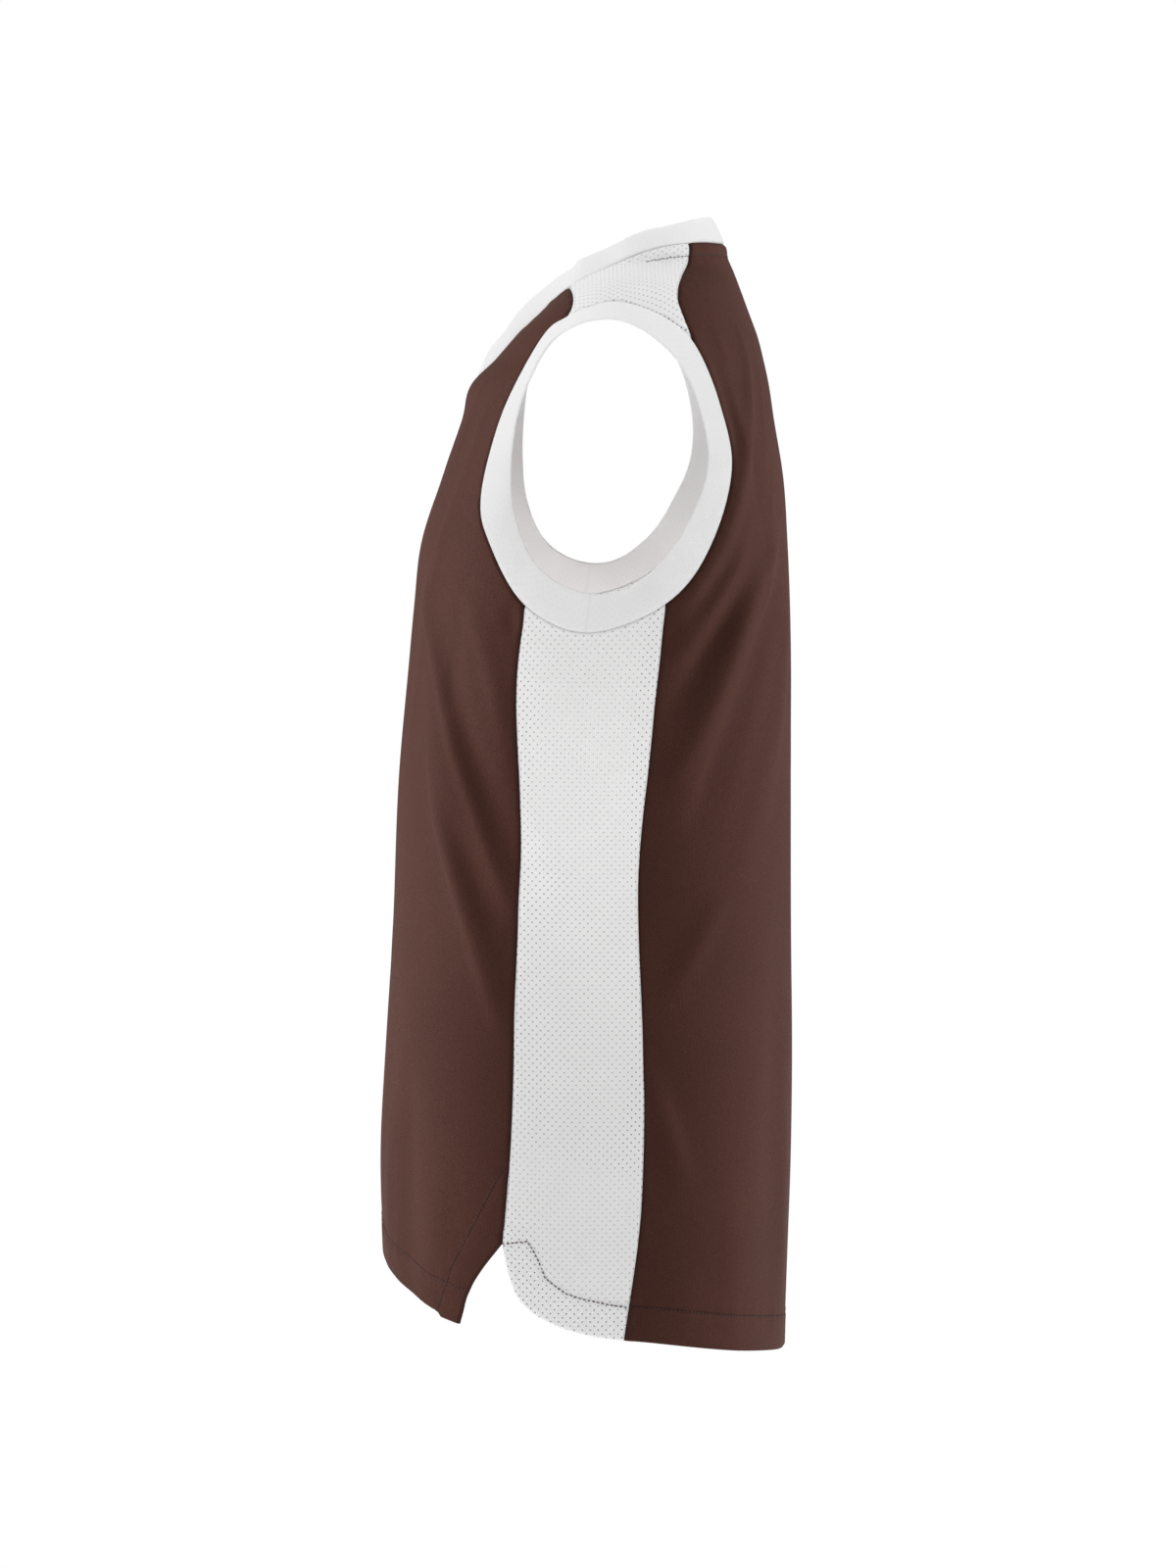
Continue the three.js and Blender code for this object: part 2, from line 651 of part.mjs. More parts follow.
// The band round one armhole, from its seam to its free edge.
function armholeBand(name, side) {
  const loop = [
    ...armholeUnder.slice(0, -1),
    ...armholeBack.slice(0, -1),
    ...armholeTop.slice().reverse().slice(0, -1),
    ...armholeFront.slice().reverse().slice(0, -1),
  ];
  const places = side === "left" ? loop : loop.map(mirrored).reverse();
  const seam = places.map(clothPoint);
  const free = seam.map((point) => {
    const offY = point.y - ARMHOLE_CENTRE.y;
    const offZ = point.z - ARMHOLE_CENTRE.z;
    const around = (Math.atan2(offZ, offY) / RADIANS + 360) % 360;
    const share = bandEdge[side](around) / Math.hypot(offY, offZ);
    return new THREE.Vector3(
      Math.sign(point.x) * bandEdge.across(around),
      ARMHOLE_CENTRE.y + offY * share,
      ARMHOLE_CENTRE.z + offZ * share,
    );
  });
  return bandMesh(name, seam, free, places.map(clothNormal));
}

// The band round the neck, which stands up from its seam and is mitred at the V.
function neckBand(name) {
  const half = [...neckFront.slice(0, -1), ...neckSide.slice(0, -1), ...neckBack];
  const left = half.map(clothPoint);
  const last = half.length - 1;
  const fullFree = left.map((point, i) => {
    const after = i < last ? left[i + 1] : mirrorPoint(left[i - 1]);
    const before = i > 0 ? left[i - 1] : left[0];
    const along = after.clone().sub(before).normalize();
    const inward = new THREE.Vector3(-along.y, along.x, 0).normalize();
    const lean = collarLean(half[i].angle) * RADIANS;
    const rise = new THREE.Vector3(0, 0, Math.cos(lean)).addScaledVector(inward, Math.sin(lean));
    rise.addScaledVector(along, -rise.dot(along)).normalize();
    return point.clone().addScaledVector(rise, COLLAR_WIDTH);
  });
  const crossing = fullFree.findIndex((point) => point.x > 0);
  const beyond = fullFree[crossing].x / (fullFree[crossing].x - fullFree[crossing - 1].x);
  const start = crossing - beyond;
  const free = fullFree.map((_, i) => {
    const index = i < NECK_ROWS ? start + (i * (NECK_ROWS - start)) / NECK_ROWS : i;
    const below = Math.min(last - 1, Math.floor(index));
    return fullFree[below].clone().lerp(fullFree[below + 1], index - below);
  });
  free[0].x = 0;
  const whole = (points) => [
    ...points,
    ...points.slice(1, -1).reverse().map(mirrorPoint),
  ];
  return bandMesh(name, whole(left), whole(free), whole(half.map(clothNormal)));
}

const jersey = new THREE.Group();
const front = frontHalf();
const back = backHalf();
const side = sideGrid();
const yoke = yokeGrid();
const mirrorGrid = (grid) => grid.map((row) => row.map(mirrored));
const bothHalves = (grid, flip) => [
  { grid, flip },
  { grid: mirrorGrid(grid), flip: !flip },
];
jersey.add(
  clothPiece("front_panel", BROWN, bothHalves(front, false), true),
  clothPiece("back_panel", BROWN, bothHalves(back, true), true),
  clothPiece("side_panel_left", WHITE_MESH, [{ grid: side, flip: false }], true),
  clothPiece("side_panel_right", WHITE_MESH, [{ grid: mirrorGrid(side), flip: true }], true),
  clothPiece("shoulder_yoke_left", WHITE_MESH, [{ grid: yoke, flip: false }], false),
  clothPiece("shoulder_yoke_right", WHITE_MESH, [{ grid: mirrorGrid(yoke), flip: true }], false),
  armholeBand("armhole_band_left", "left"),
  armholeBand("armhole_band_right", "right"),
  neckBand("neckband"),
);

export default jersey;
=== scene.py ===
# %% [markdown]
# # A basketball jersey in its worn shape
#
# This lesson dresses a imported CAD model of a sleeveless jersey. The CAD holds each cut piece as a
# plain wall. Here every wall is replaced by finer cloth of the same form, with creases, sewn seams,
# turned-up hems, stitching and knit. The CAD box is kept, so that the new cloth can be compared
# with it.

# %% Load the frame
import math

import bmesh
import bpy
import numpy as np
from mathutils import Matrix, Vector
from mathutils.bvhtree import BVHTree
from mathutils.kdtree import KDTree


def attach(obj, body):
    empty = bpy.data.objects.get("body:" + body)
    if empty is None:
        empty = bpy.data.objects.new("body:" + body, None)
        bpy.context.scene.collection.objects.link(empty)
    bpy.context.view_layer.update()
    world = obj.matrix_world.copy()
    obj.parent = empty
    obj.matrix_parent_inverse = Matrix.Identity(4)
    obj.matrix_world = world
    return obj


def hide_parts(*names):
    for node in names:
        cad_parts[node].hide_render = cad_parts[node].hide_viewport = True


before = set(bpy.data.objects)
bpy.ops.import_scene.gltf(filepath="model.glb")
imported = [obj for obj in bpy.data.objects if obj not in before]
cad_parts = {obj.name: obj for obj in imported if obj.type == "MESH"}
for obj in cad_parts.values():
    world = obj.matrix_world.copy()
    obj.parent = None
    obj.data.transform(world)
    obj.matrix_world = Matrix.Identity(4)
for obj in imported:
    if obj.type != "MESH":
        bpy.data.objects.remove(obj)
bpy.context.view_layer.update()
print("CAD pieces:", ", ".join(sorted(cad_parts)))

# %% [markdown]
# ## The maker's sizes
#
# A pattern cutter works in millimetres, and so do the tables below. They are the sizes that the
# CAD model was cut to, so the new cloth lies where the old one does. MM turns them into Blender's
# metres at the moment a mesh is made. Heights are measured from the top of the wearer's shoulders,
# y runs from the front (negative) to the back, and x is positive on the wearer's left.

# %% Sizes of the cut
MM = 0.001

PANEL_WALL = 1.0
HEM_WALL = 1.8
BAND_WALL = 1.6
COLLAR_WIDTH = 18
HEM_WIDTH = 21

FRONT_HEM_Z = -612
FRONT_HEM_RISE = 9
SIDE_HEM_Z = -617
BACK_TAIL_DROP = 54
BACK_TAIL_ROUNDNESS = 1.4

HALF_COLUMNS = 13
SIDE_COLUMNS = 8
HEM_SHARES = [0, 0.5, 1, 1.06]
HEM_ROWS = len(HEM_SHARES) - 1
VENT_ROWS = 2
BODY_ROWS = 22
SIDE_ROWS = HEM_ROWS + BODY_ROWS
CHEST_ROWS = 7
NECK_ROWS = 9
ARMHOLE_BACK_ROWS = 12
YOKE_ROWS = 9

FRONT_REACH = (18, 6)
BACK_REACH = (25, 8)
SIDE_REACH = (10, 6)
YOKE_REACH = (9, 9)
print("Hem", HEM_WIDTH, "mm, collar", COLLAR_WIDTH, "mm")

# %% [markdown]
# ## The hanging cloth as rings
#
# Filled out, the jersey is one closed tube of horizontal rings. Each row of the table is a ring:
# its height, half its width, the y of its front end, of its widest point and of its back end, and
# how boxy its front and back halves are (2 is an ellipse). A loft through hand-drawn circles would
# also work, but a table lets one function give the cloth at any angle and height, so that two
# pieces which share a seam meet there exactly.

# %% Rings, seams and folds
RINGS = np.array([
    # z, half width, front, wide, back, square front, square back
    (-720, 178, -129, 0, 125, 2.4, 2.5),
    (-610, 177, -130, -1, 126, 2.4, 2.5),
    (-540, 175, -130, -1, 127, 2.4, 2.5),
    (-480, 171, -127, 0, 127, 2.35, 2.5),
    (-400, 166, -123, 0, 126, 2.3, 2.5),
    (-300, 166, -118, 0, 126, 2.3, 2.5),
    (-240, 169, -112, 2, 126, 2.3, 2.5),
    (-200, 171, -108, 5, 125, 2.3, 2.45),
    (-160, 170, -103, 8, 123, 2.3, 2.45),
    (-120, 168, -89.5, 10, 120, 2.3, 2.4),
    (-85, 167, -76.5, 12, 114, 2.3, 2.35),
    (-63, 166, -70.5, 13, 110.5, 2.3, 2.3),
    (-50, 164, -57, 14, 107.5, 2.4, 2.3),
    (-36, 159, -44.5, 15, 104, 2.4, 2.2),
    (-22, 148, -30, 17, 99, 2.4, 2.1),
    (-8, 128, -18, 20, 94, 2.2, 2),
    (4, 97, -2, 25, 89.5, 2, 2),
    (12, 90, 6, 29, 86, 2, 2),
    (18, 84, 14, 30, 85, 2, 2),
    (24, 78, 18, 31, 82, 2, 2),
], float)

# Angle round the rings (-90 the V, 0 the wearer's left, 90 the middle of the back) and height
NECK_SEAM = np.array([
    (-90, -63), (-78, -52), (-59, -36.5), (-40, -23), (-20, -9),
    (-8, 2.5), (4, 12), (23, 17.4), (50, 19.5), (90, 21),
], float)
YOKE_FRONT_ANGLE = -20
YOKE_BACK_ANGLE = 23

# Seams of the left side as y and z, seen from the side
ARMHOLE_SEAM = np.array([
    (18, -20), (0, -23), (-13, -28.7), (-24, -36.5), (-40, -63), (-53, -92), (-62, -130), (-57, -155),
    (-36, -190), (0, -205), (44, -189), (69, -158), (82, -113), (75, -76), (60, -43), (42, -28),
], float)
YOKE_FRONT_CORNER = 2
UNDERARM_FRONT = 8
UNDERARM_BACK = 10
YOKE_BACK_CORNER = 14
YOKE_FRONT_SEAM = np.array([
    (-9.5, -14), (-9, -18.5), (-10, -23.5),
], float)
YOKE_BACK_SEAM = np.array([
    (60, 10), (58.5, 4.5), (55, -2), (52.5, -8.5), (51.5, -14), (51.5, -19), (53, -24), (57, -35),
], float)
SIDE_FRONT_SEAM = np.array([
    (-50, -561), (-45, -500), (-42, -410), (-39, -320), (-41, -240), (-36, -190),
], float)
SIDE_BACK_SEAM = np.array([
    (21, -617), (31, -540), (32, -450), (29, -350), (36, -270), (44, -189),
], float)
SIDE_TAIL = np.array([
    (-50, -561), (-46, -580), (-39, -595), (-23, -606), (-2, -613), (21, -617),
], float)
VENT_EDGE = np.array([(-76, -612), (-70, -593), (-62, -578), (-50, -561)], float)

# The collar's lean towards the neck by angle, and each armhole band's free edge by direction
COLLAR_LEAN = np.array([
    (-90, 30), (-75, 23), (-60, 20), (-45, 20), (-32, 23), (-18, 40),
    (-6, 48), (10, 54), (25, 51), (45, 36), (90, 25),
], float)
ARMHOLE_CENTRE_Y = 10
ARMHOLE_CENTRE_Z = -112
BAND_EDGE = np.array([
    # around, left, right, across
    (0, 58, 61, 153), (30, 62, 69, 157), (60, 73, 84, 164), (90, 82, 94, 163),
    (110, 78, 88, 157), (130, 66, 75, 158), (150, 58, 62, 153), (180, 54, 55, 144),
    (210, 59, 59, 147), (240, 69, 69, 161), (270, 71, 71, 170), (300, 62, 62, 170),
    (330, 56, 56, 161), (360, 58, 61, 153),
], float)

# The largest folds, between two places: angle, z, angle, z, half breadth, height (minus: a trough)
FOLDS = [
    (-49, -188, -17, -364, 15, 3.2),
    (-41, -262, -17, -440, 14, 2.6),
    (-36, -222, -15, -346, 12, -2.6),
    (-45, -470, -42, -625, 14, -3.4),
    (-70, -420, -66, -625, 24, 2.6),
    (38, -45, 27, -160, 9, 2.4),
    (46, -155, 19, -288, 11, 3),
    (32, -178, 15, -250, 9, -2.4),
    (60, -175, 36, -345, 15, 2.8),
    (50, -380, 44, -660, 22, -2.6),
    (70, -300, 66, -670, 26, 2.4),
    (-12, -270, 6, -345, 14, -2.2),
    (-14, -345, 4, -415, 14, -2),
    (-128, -190, -156, -350, 16, 3),
    (-134, -290, -160, -450, 17, 2.4),
    (-138, -230, -158, -320, 12, -2.4),
    (-112, -450, -116, -625, 22, -2.8),
    (-140, -460, -138, -625, 16, 2.6),
    (138, -150, 160, -270, 13, 2.8),
    (126, -190, 152, -350, 17, 2.6),
    (146, -200, 165, -290, 10, -2.2),
    (112, -330, 116, -665, 24, 2.6),
    (134, -400, 136, -655, 20, -2.4),
    (190, -280, 174, -350, 14, -2),
]
FOLD_RADIUS = 150
FOLD_END_SHARE = 0.25
CREASE_FULLNESS = 0.7

# The wearer's right shoulder is held a little higher, from 95 mm off the middle outwards
RIGHT_RISE = 8
RISE_FROM_X = 95
RISE_OVER_X = 55
RISE_FROM_Z = -150
RISE_OVER_Z = 80
print(len(RINGS), "rings,", len(FOLDS), "large folds")

# %% [markdown]
# ## Fine creases
#
# Under the large folds lie the small ones that make knit look soft: drag lines that run down from
# the armhole, ripples under the neck, a few pulls over the shoulder and slow waves at the hem.
# They are placed one by one, each between two places of the cloth, and no two have the same length,
# breadth or height. Displacing the mesh with a noise texture would be quicker, but noise doesn't
# know that creases start where cloth is held and run out where it hangs free.

# %% Creases
CREASES = [
    # Ripples that start at the V and the neck seam, in front
    (-71, -66, -77, -118, 4.5, 0.9),
    (-78, -70, -83, -131, 5, -0.6),
    (-64, -58, -72, -125, 6, 0.7),
    (-109, -66, -103, -114, 4.5, 0.8),
    (-116, -58, -108, -128, 6, 0.6),
    # Drag lines from the front of the armhole
    (-33, -84, -50, -205, 7, 1.1),
    (-37, -120, -58, -290, 9, 0.8),
    (-29, -172, -33, -262, 6, -0.8),
    (-62, -150, -70, -330, 12, 0.8),
    (-147, -88, -131, -211, 7, 0.9),
    (-142, -122, -122, -296, 9, 0.7),
    (-150, -175, -146, -268, 6, -0.7),
    (-118, -158, -110, -322, 12, 0.7),
    # Lines that fan out below the armhole at the back
    (33, -60, 38, -150, 4.5, -1.1),
    (48, -40, 41, -128, 4, 0.9),
    (46, -118, 41, -188, 5, 0.8),
    (37, -172, 22, -236, 6, 0.9),
    (31, -186, 20, -226, 4, -0.7),
    (46, -196, 29, -292, 8, 0.9),
    (40, -224, 27, -306, 6, -0.7),
    (44, -262, 31, -372, 9, 0.6),
    (147, -60, 142, -148, 4.5, -0.9),
    (133, -44, 139, -126, 4, 0.8),
    (143, -172, 157, -238, 6, 0.8),
    (134, -198, 150, -290, 8, 0.8),
    (140, -226, 153, -300, 6, -0.6),
    # Soft diagonals on the side panels
    (-13, -228, 3, -292, 9, 0.7),
    (-15, -300, 5, -366, 8, 0.6),
    (8, -236, -3, -300, 10, -0.6),
    (-8, -420, 6, -520, 16, 0.7),
    (193, -230, 178, -296, 9, 0.7),
    (195, -306, 176, -370, 8, 0.6),
    (187, -424, 175, -516, 16, 0.6),
    # Slow waves towards the hems
    (-84, -480, -82, -600, 12, -0.9),
    (-56, -500, -57, -612, 10, 1.1),
    (-31, -520, -34, -600, 9, 0.9),
    (-96, -500, -98, -606, 12, 0.8),
    (-124, -510, -125, -612, 10, 0.9),
    (30, -520, 32, -640, 10, 0.8),
    (58, -470, 57, -650, 11, 0.9),
    (82, -500, 80, -672, 13, -0.9),
    (99, -480, 101, -672, 12, 0.9),
    (124, -500, 122, -655, 11, 0.8),
    (149, -530, 147, -640, 10, -0.8),
]
print(len(CREASES), "fine creases")

# %% [markdown]
# ## The main creases
#
# The eye is drawn to the sharper creases, most of which start at the armhole and bend as they run
# down. Each is a line of places, always listed downwards. A crease in cloth isn't even: one side
# slopes gently and the other drops away, so each line has two half breadths. Those of the other
# side of the jersey are alike but not mirrored.

# %% Main creases
MAIN_CREASES = [
    # half breadth towards smaller angles, towards larger ones, height, line of (angle, z)
    # In front, from the armhole down and forward
    (4.5, 11, 3.6, [(-49, -190), (-41, -217), (-35, -244), (-30, -274), (-24, -307), (-16, -362)]),
    (4.5, 11, 3.2, [(-40, -270), (-35, -316), (-30, -348), (-25, -380), (-18, -434)]),
    (5, 8, 1.8, [(-30, -185), (-24, -211), (-20, -236), (-16, -282)]),
    (8, 10, -2.4, [(-35, -224), (-28, -264), (-22, -297), (-15, -345)]),
    (7, 9, -2.6, [(-30, -314), (-25, -344), (-19, -380)]),
    (4, 5, -1.6, [(-18, -193), (-16, -206)]),
    (4, 6, 1.6, [(-38, -66), (-48, -85), (-51, -108)]),
    (4, 5, 1.4, [(-28, -72), (-35, -86), (-37, -102)]),
    # At the back, from beside the armhole down to the side panel
    (6.5, 4.5, 2.8, [(36, -36), (36, -58), (34, -90), (31, -118), (25, -157), (16, -195)]),
    (4, 4, 1.3, [(28.5, -68), (30, -84), (31, -106)]),
    (7, 4.5, 2.8, [(32, -152), (29, -171), (21, -202), (15, -225)]),
    (8, 4.5, 3.2, [(48, -155), (38, -176), (32, -203), (24, -250), (17, -291)]),
    (5.5, 13, -4.4, [(49, -176), (38, -208), (31, -246), (22, -312)]),
    (4.5, 7, -2.6, [(30.5, -179), (26, -203), (16, -248)]),
    (4, 5, -1.8, [(29, -158), (24, -176), (19, -195)]),
    (4, 4, -1.2, [(20.5, -44), (24.5, -62), (29.5, -100)]),
    (3, 4, 1, [(24, -35), (27.5, -58)]),
    (10, 6, 2.8, [(12, -462), (19, -524)]),
    (8, 7, 2.4, [(29, -360), (16, -416)]),
    # Over the yoke, and on the side panel
    (4, 4, -0.9, [(5, 6), (-6, -2), (-15, -7)]),
    (4, 4, -0.8, [(16, 9), (8, -2), (-2, -13)]),
    (12, 14, 1.2, [(8, -488), (-2, -556)]),
    # The other side, in front
    (10, 4.5, 3.2, [(-127, -196), (-136, -228), (-144, -262), (-151, -300), (-160, -352)]),
    (11, 5, 2.9, [(-141, -284), (-147, -330), (-153, -366), (-161, -418)]),
    (6, 8, 1.8, [(-151, -180), (-158, -214), (-164, -262)]),
    (11, 8, -3.2, [(-143, -232), (-151, -276), (-162, -330)]),
    (9, 7, -2.4, [(-152, -326), (-160, -372)]),
    (6, 4, 1.4, [(-143, -68), (-134, -88), (-129, -116)]),
    # The other side, at the back
    (4.5, 6.5, 2.6, [(144, -40), (145, -74), (149, -112), (156, -160), (163, -190)]),
    (4.5, 7, 2.5, [(147, -158), (153, -184), (161, -214)]),
    (4.5, 8, 2.9, [(133, -162), (142, -190), (149, -226), (159, -278)]),
    (13, 6, -4, [(133, -192), (141, -232), (153, -306)]),
    (6, 5, -2.4, [(150, -188), (158, -226)]),
    (4, 4, -1.1, [(158, -46), (153.5, -76), (150, -104)]),
    (8, 10, 1.7, [(166, -430), (160, -496)]),
    (4, 4, -0.8, [(172, 4), (184, -3), (192, -9)]),
]
print(len(MAIN_CREASES), "main creases")

# %% [markdown]
# ## From tables to cloth
#
# A smooth curve through one column of a table gives that size at any height. The ring's shape then
# gives a point at any angle, and the folds and creases push it out or in.

# %% Points of the cloth
def ease(t):
    return t * t * (3 - 2 * t)


def smooth_column(table, column):
    """A smooth function through one column of a table whose rows rise along its first column."""
    at = table[:, 0]
    value = table[:, column]
    slope = np.diff(value) / np.diff(at)
    before = np.diff(at)[:-1]
    after = np.diff(at)[1:]
    tangent = np.empty_like(at)
    tangent[0] = slope[0]
    tangent[-1] = slope[-1]
    tangent[1:-1] = (slope[:-1] * after + slope[1:] * before) / (before + after)

    def curve(where):
        x = np.clip(where, at[0], at[-1])
        i = np.clip(np.searchsorted(at, x) - 1, 0, len(at) - 2)
        span = at[i + 1] - at[i]
        t = (x - at[i]) / span
        end = ease(t)
        leave = t * (1 - t) ** 2 * span
        arrive = t * t * (t - 1) * span
        return value[i] * (1 - end) + value[i + 1] * end + tangent[i] * leave + tangent[i + 1] * arrive

    return curve


ring_half_width = smooth_column(RINGS, 1)
ring_front = smooth_column(RINGS, 2)
ring_wide = smooth_column(RINGS, 3)
ring_back = smooth_column(RINGS, 4)
ring_square_front = smooth_column(RINGS, 5)
ring_square_back = smooth_column(RINGS, 6)
neck_seam_z = smooth_column(NECK_SEAM, 1)
collar_lean = smooth_column(COLLAR_LEAN, 1)


def from_line(angle, z, line):
    """Distance to a line of places (minus towards smaller angles), past its ends, share along it."""
    turn = (angle - line[0][0] + 180) % 360 - 180
    x = np.radians(turn) * FOLD_RADIUS
    corners = [(math.radians(a - line[0][0]) * FOLD_RADIUS, corner_z) for a, corner_z in line]
    lengths = [math.dist(first, second) for first, second in zip(corners, corners[1:])]
    shape = np.shape(angle + z)
    best = np.full(shape, np.inf)
    off = np.zeros(shape)
    past = np.zeros(shape)
    share = np.zeros(shape)
    for i, (first, second) in enumerate(zip(corners, corners[1:])):
        along_x = (second[0] - first[0]) / lengths[i]
        along_z = (second[1] - first[1]) / lengths[i]
        along = (x - first[0]) * along_x + (z - first[1]) * along_z
        across = (z - first[1]) * along_x - (x - first[0]) * along_z
        outside = np.maximum(0, np.maximum(-along, along - lengths[i]))
        distance = np.hypot(across, outside)
        nearer = distance < best
        best = np.where(nearer, distance, best)
        is_end = (i == 0) & (along < 0) | (i == len(lengths) - 1) & (along > lengths[i])
        off = np.where(nearer, np.where(is_end, across, np.copysign(distance, across)), off)
        past = np.where(nearer, outside * is_end, past)
        so_far = sum(lengths[:i]) + np.clip(along, 0, lengths[i])
        share = np.where(nearer, so_far / sum(lengths), share)
    return off, past, share


def fold_height(angle, z):
    """How far the folds and creases push the cloth out at an angle and a height."""
    total = np.zeros(np.shape(angle + z))
    for from_angle, from_z, to_angle, to_z, width, height in FOLDS + CREASES:
        along_angle = math.radians(to_angle - from_angle) * FOLD_RADIUS
        along_z = to_z - from_z
        turn = (angle - from_angle + 180) % 360 - 180
        off_angle = np.radians(turn) * FOLD_RADIUS
        off_z = z - from_z
        length = math.hypot(along_angle, along_z)
        t = (off_angle * along_angle + off_z * along_z) / length**2
        off = (off_angle * along_z - off_z * along_angle) / length
        past = np.maximum(0, np.maximum(-t, t - 1)) * length
        swell = FOLD_END_SHARE + (1 - FOLD_END_SHARE) * np.sin(math.pi * np.clip(t, 0, 1))
        total += height * swell * np.exp(-(off**2 + past**2) / width**2)
    for small_side, large_side, height, line in MAIN_CREASES:
        off, past, share = from_line(angle, z, line)
        breadth = np.where(off < 0, small_side, large_side)
        past_breadth = (small_side + large_side) / 2
        swell = FOLD_END_SHARE + (1 - FOLD_END_SHARE) * np.sin(math.pi * share) ** CREASE_FULLNESS
        total += height * swell * np.exp(-((off / breadth) ** 2) - (past / past_breadth) ** 2)
    return total


def right_rise(x, z):
    """How much higher than the left shoulder a place of the right one is held."""
    outwards = ease(np.clip((-x - RISE_FROM_X) / RISE_OVER_X, 0, 1))
    upwards = ease(np.clip((z - RISE_FROM_Z) / RISE_OVER_Z, 0, 1))
    return RIGHT_RISE * outwards * upwards


def cloth_point(angle, z):
    """The cloth's outer face at angles in degrees and heights, as an array of x, y, z."""
    cos = np.cos(np.radians(angle))
    sin = np.sin(np.radians(angle))
    wide = ring_wide(z)
    depth = np.where(sin < 0, wide - ring_front(z), ring_back(z) - wide)
    square = np.where(sin < 0, ring_square_front(z), ring_square_back(z))
    share = (np.abs(cos) / ring_half_width(z)) ** square + (np.abs(sin) / depth) ** square
    radius = share ** (-1 / square) + fold_height(angle, z)
    x = radius * cos
    return np.stack([x, wide + radius * sin, z + right_rise(x, z)], axis=-1)


def cloth_at(places):
    """The cloth's points at places, which are pairs of angle and z."""
    return cloth_point(places[..., 0], places[..., 1])


def unit(vectors):
    return vectors / np.linalg.norm(vectors, axis=-1, keepdims=True)


def cloth_normal(angle, z):
    step = 0.5
    around = cloth_point(angle + step, z) - cloth_point(angle - step, z)
    up = cloth_point(angle, z + step) - cloth_point(angle, z - step)
    return unit(np.cross(around, up))


def side_place(y, z):
    """The angle of points of the left side that are given as seen from the side."""
    wide = ring_wide(z)
    off = y - wide
    depth = np.where(off < 0, wide - ring_front(z), ring_back(z) - wide)
    square = np.where(off < 0, ring_square_front(z), ring_square_back(z))
    share = np.minimum(1, np.abs(off) / depth)
    across = ring_half_width(z) * (1 - share**square) ** (1 / square)
    return np.degrees(np.arctan2(off, across))


chest = cloth_point(np.array([-90.0, 0.0, 90.0]), np.array([-160.0, -160.0, -160.0]))
print("Chest ring:", np.round(chest, 1).tolist())

# %% [markdown]
# ## Seam lines
#
# A seam is a smooth curve through its few points, drawn as seen from the side and laid on the
# cloth. This kind of curve passes through every point it is given, which is why it suits lines
# that are measured rather than designed.


# %% Seam lines
LINE_POINTS = 401


def curve_through(points, index, closed):
    """Points at fractional indices of a smooth curve that passes through rows of points."""
    last = len(points) - 1
    if closed:
        whole = np.floor(index).astype(int)
        picks = [(whole + k) % len(points) for k in (-1, 0, 1, 2)]
        corners = [points[pick] for pick in picks]
        t = index - whole
    else:
        ends = np.vstack([2 * points[0] - points[1], points, 2 * points[-1] - points[-2]])
        whole = np.clip(np.floor(index).astype(int), 0, last - 1)
        corners = [ends[whole + k] for k in (0, 1, 2, 3)]
        t = index - whole
    t = t[:, None]
    before, start, end, after = corners
    leave = (end - before) / 2
    arrive = (after - start) / 2
    cubic = 2 * start - 2 * end + leave + arrive
    square = -3 * start + 3 * end - 2 * leave - arrive
    return cubic * t**3 + square * t**2 + leave * t + start


def side_line(points, first, last, shares, closed=False):
    """Places, as rows of angle and z, at shares of the length of a side-view line."""
    index = np.linspace(first, last, LINE_POINTS)
    flat = curve_through(points, index, closed)
    on_cloth = cloth_point(side_place(flat[:, 0], flat[:, 1]), flat[:, 1])
    lengths = np.concatenate([[0], np.cumsum(np.linalg.norm(np.diff(on_cloth, axis=0), axis=1))])
    wanted = np.interp(np.asarray(shares) * lengths[-1], lengths, index)
    flat = curve_through(points, wanted, closed)
    return np.stack([side_place(flat[:, 0], flat[:, 1]), flat[:, 1]], axis=-1)


def whole_line(points, shares):
    return side_line(points, 0, len(points) - 1, shares)


def hemmed_shares(length, rows, row):
    """Shares of a length at rows that may be fractions: the first HEM_ROWS lie in the hem."""
    hem = np.array(HEM_SHARES) * HEM_WIDTH / length
    above = hem[-1] + (row - HEM_ROWS) / rows * (1 - hem[-1])
    return np.where(row < HEM_ROWS, np.interp(row, range(HEM_ROWS + 1), hem), above)


def neck_line(angle):
    return np.stack([angle, neck_seam_z(angle)], axis=-1)


def armhole_line(first, last, shares):
    return side_line(ARMHOLE_SEAM, first, last, shares, closed=True)


def yoke_seam(neck_angle, middle, armhole_seam, shares):
    """A yoke seam from the neck seam, through its side-view points, to an armhole seam's end."""
    neck_place = (neck_angle, neck_seam_z(neck_angle))
    armhole_place = armhole_seam(np.array([1.0]))[0]
    start = cloth_point(*neck_place)
    end = cloth_point(*armhole_place)
    points = np.vstack([start[1:], middle, end[1:]])
    line = whole_line(points, shares)
    line[shares <= 0] = neck_place
    line[shares >= 1] = armhole_place
    return line


def side_front_seam(row):
    length = SIDE_FRONT_SEAM[-1, 1] - VENT_EDGE[-1, 1]
    return whole_line(SIDE_FRONT_SEAM, hemmed_shares(length, BODY_ROWS, row))


def side_back_seam(row):
    length = SIDE_BACK_SEAM[-1, 1] - SIDE_HEM_Z
    return whole_line(SIDE_BACK_SEAM, hemmed_shares(length, BODY_ROWS, row))


def armhole_front(share):
    return armhole_line(UNDERARM_FRONT, YOKE_FRONT_CORNER, share)


def armhole_back(share):
    return armhole_line(UNDERARM_BACK, YOKE_BACK_CORNER, share)


def armhole_under(share):
    return armhole_line(UNDERARM_FRONT, UNDERARM_BACK, share)


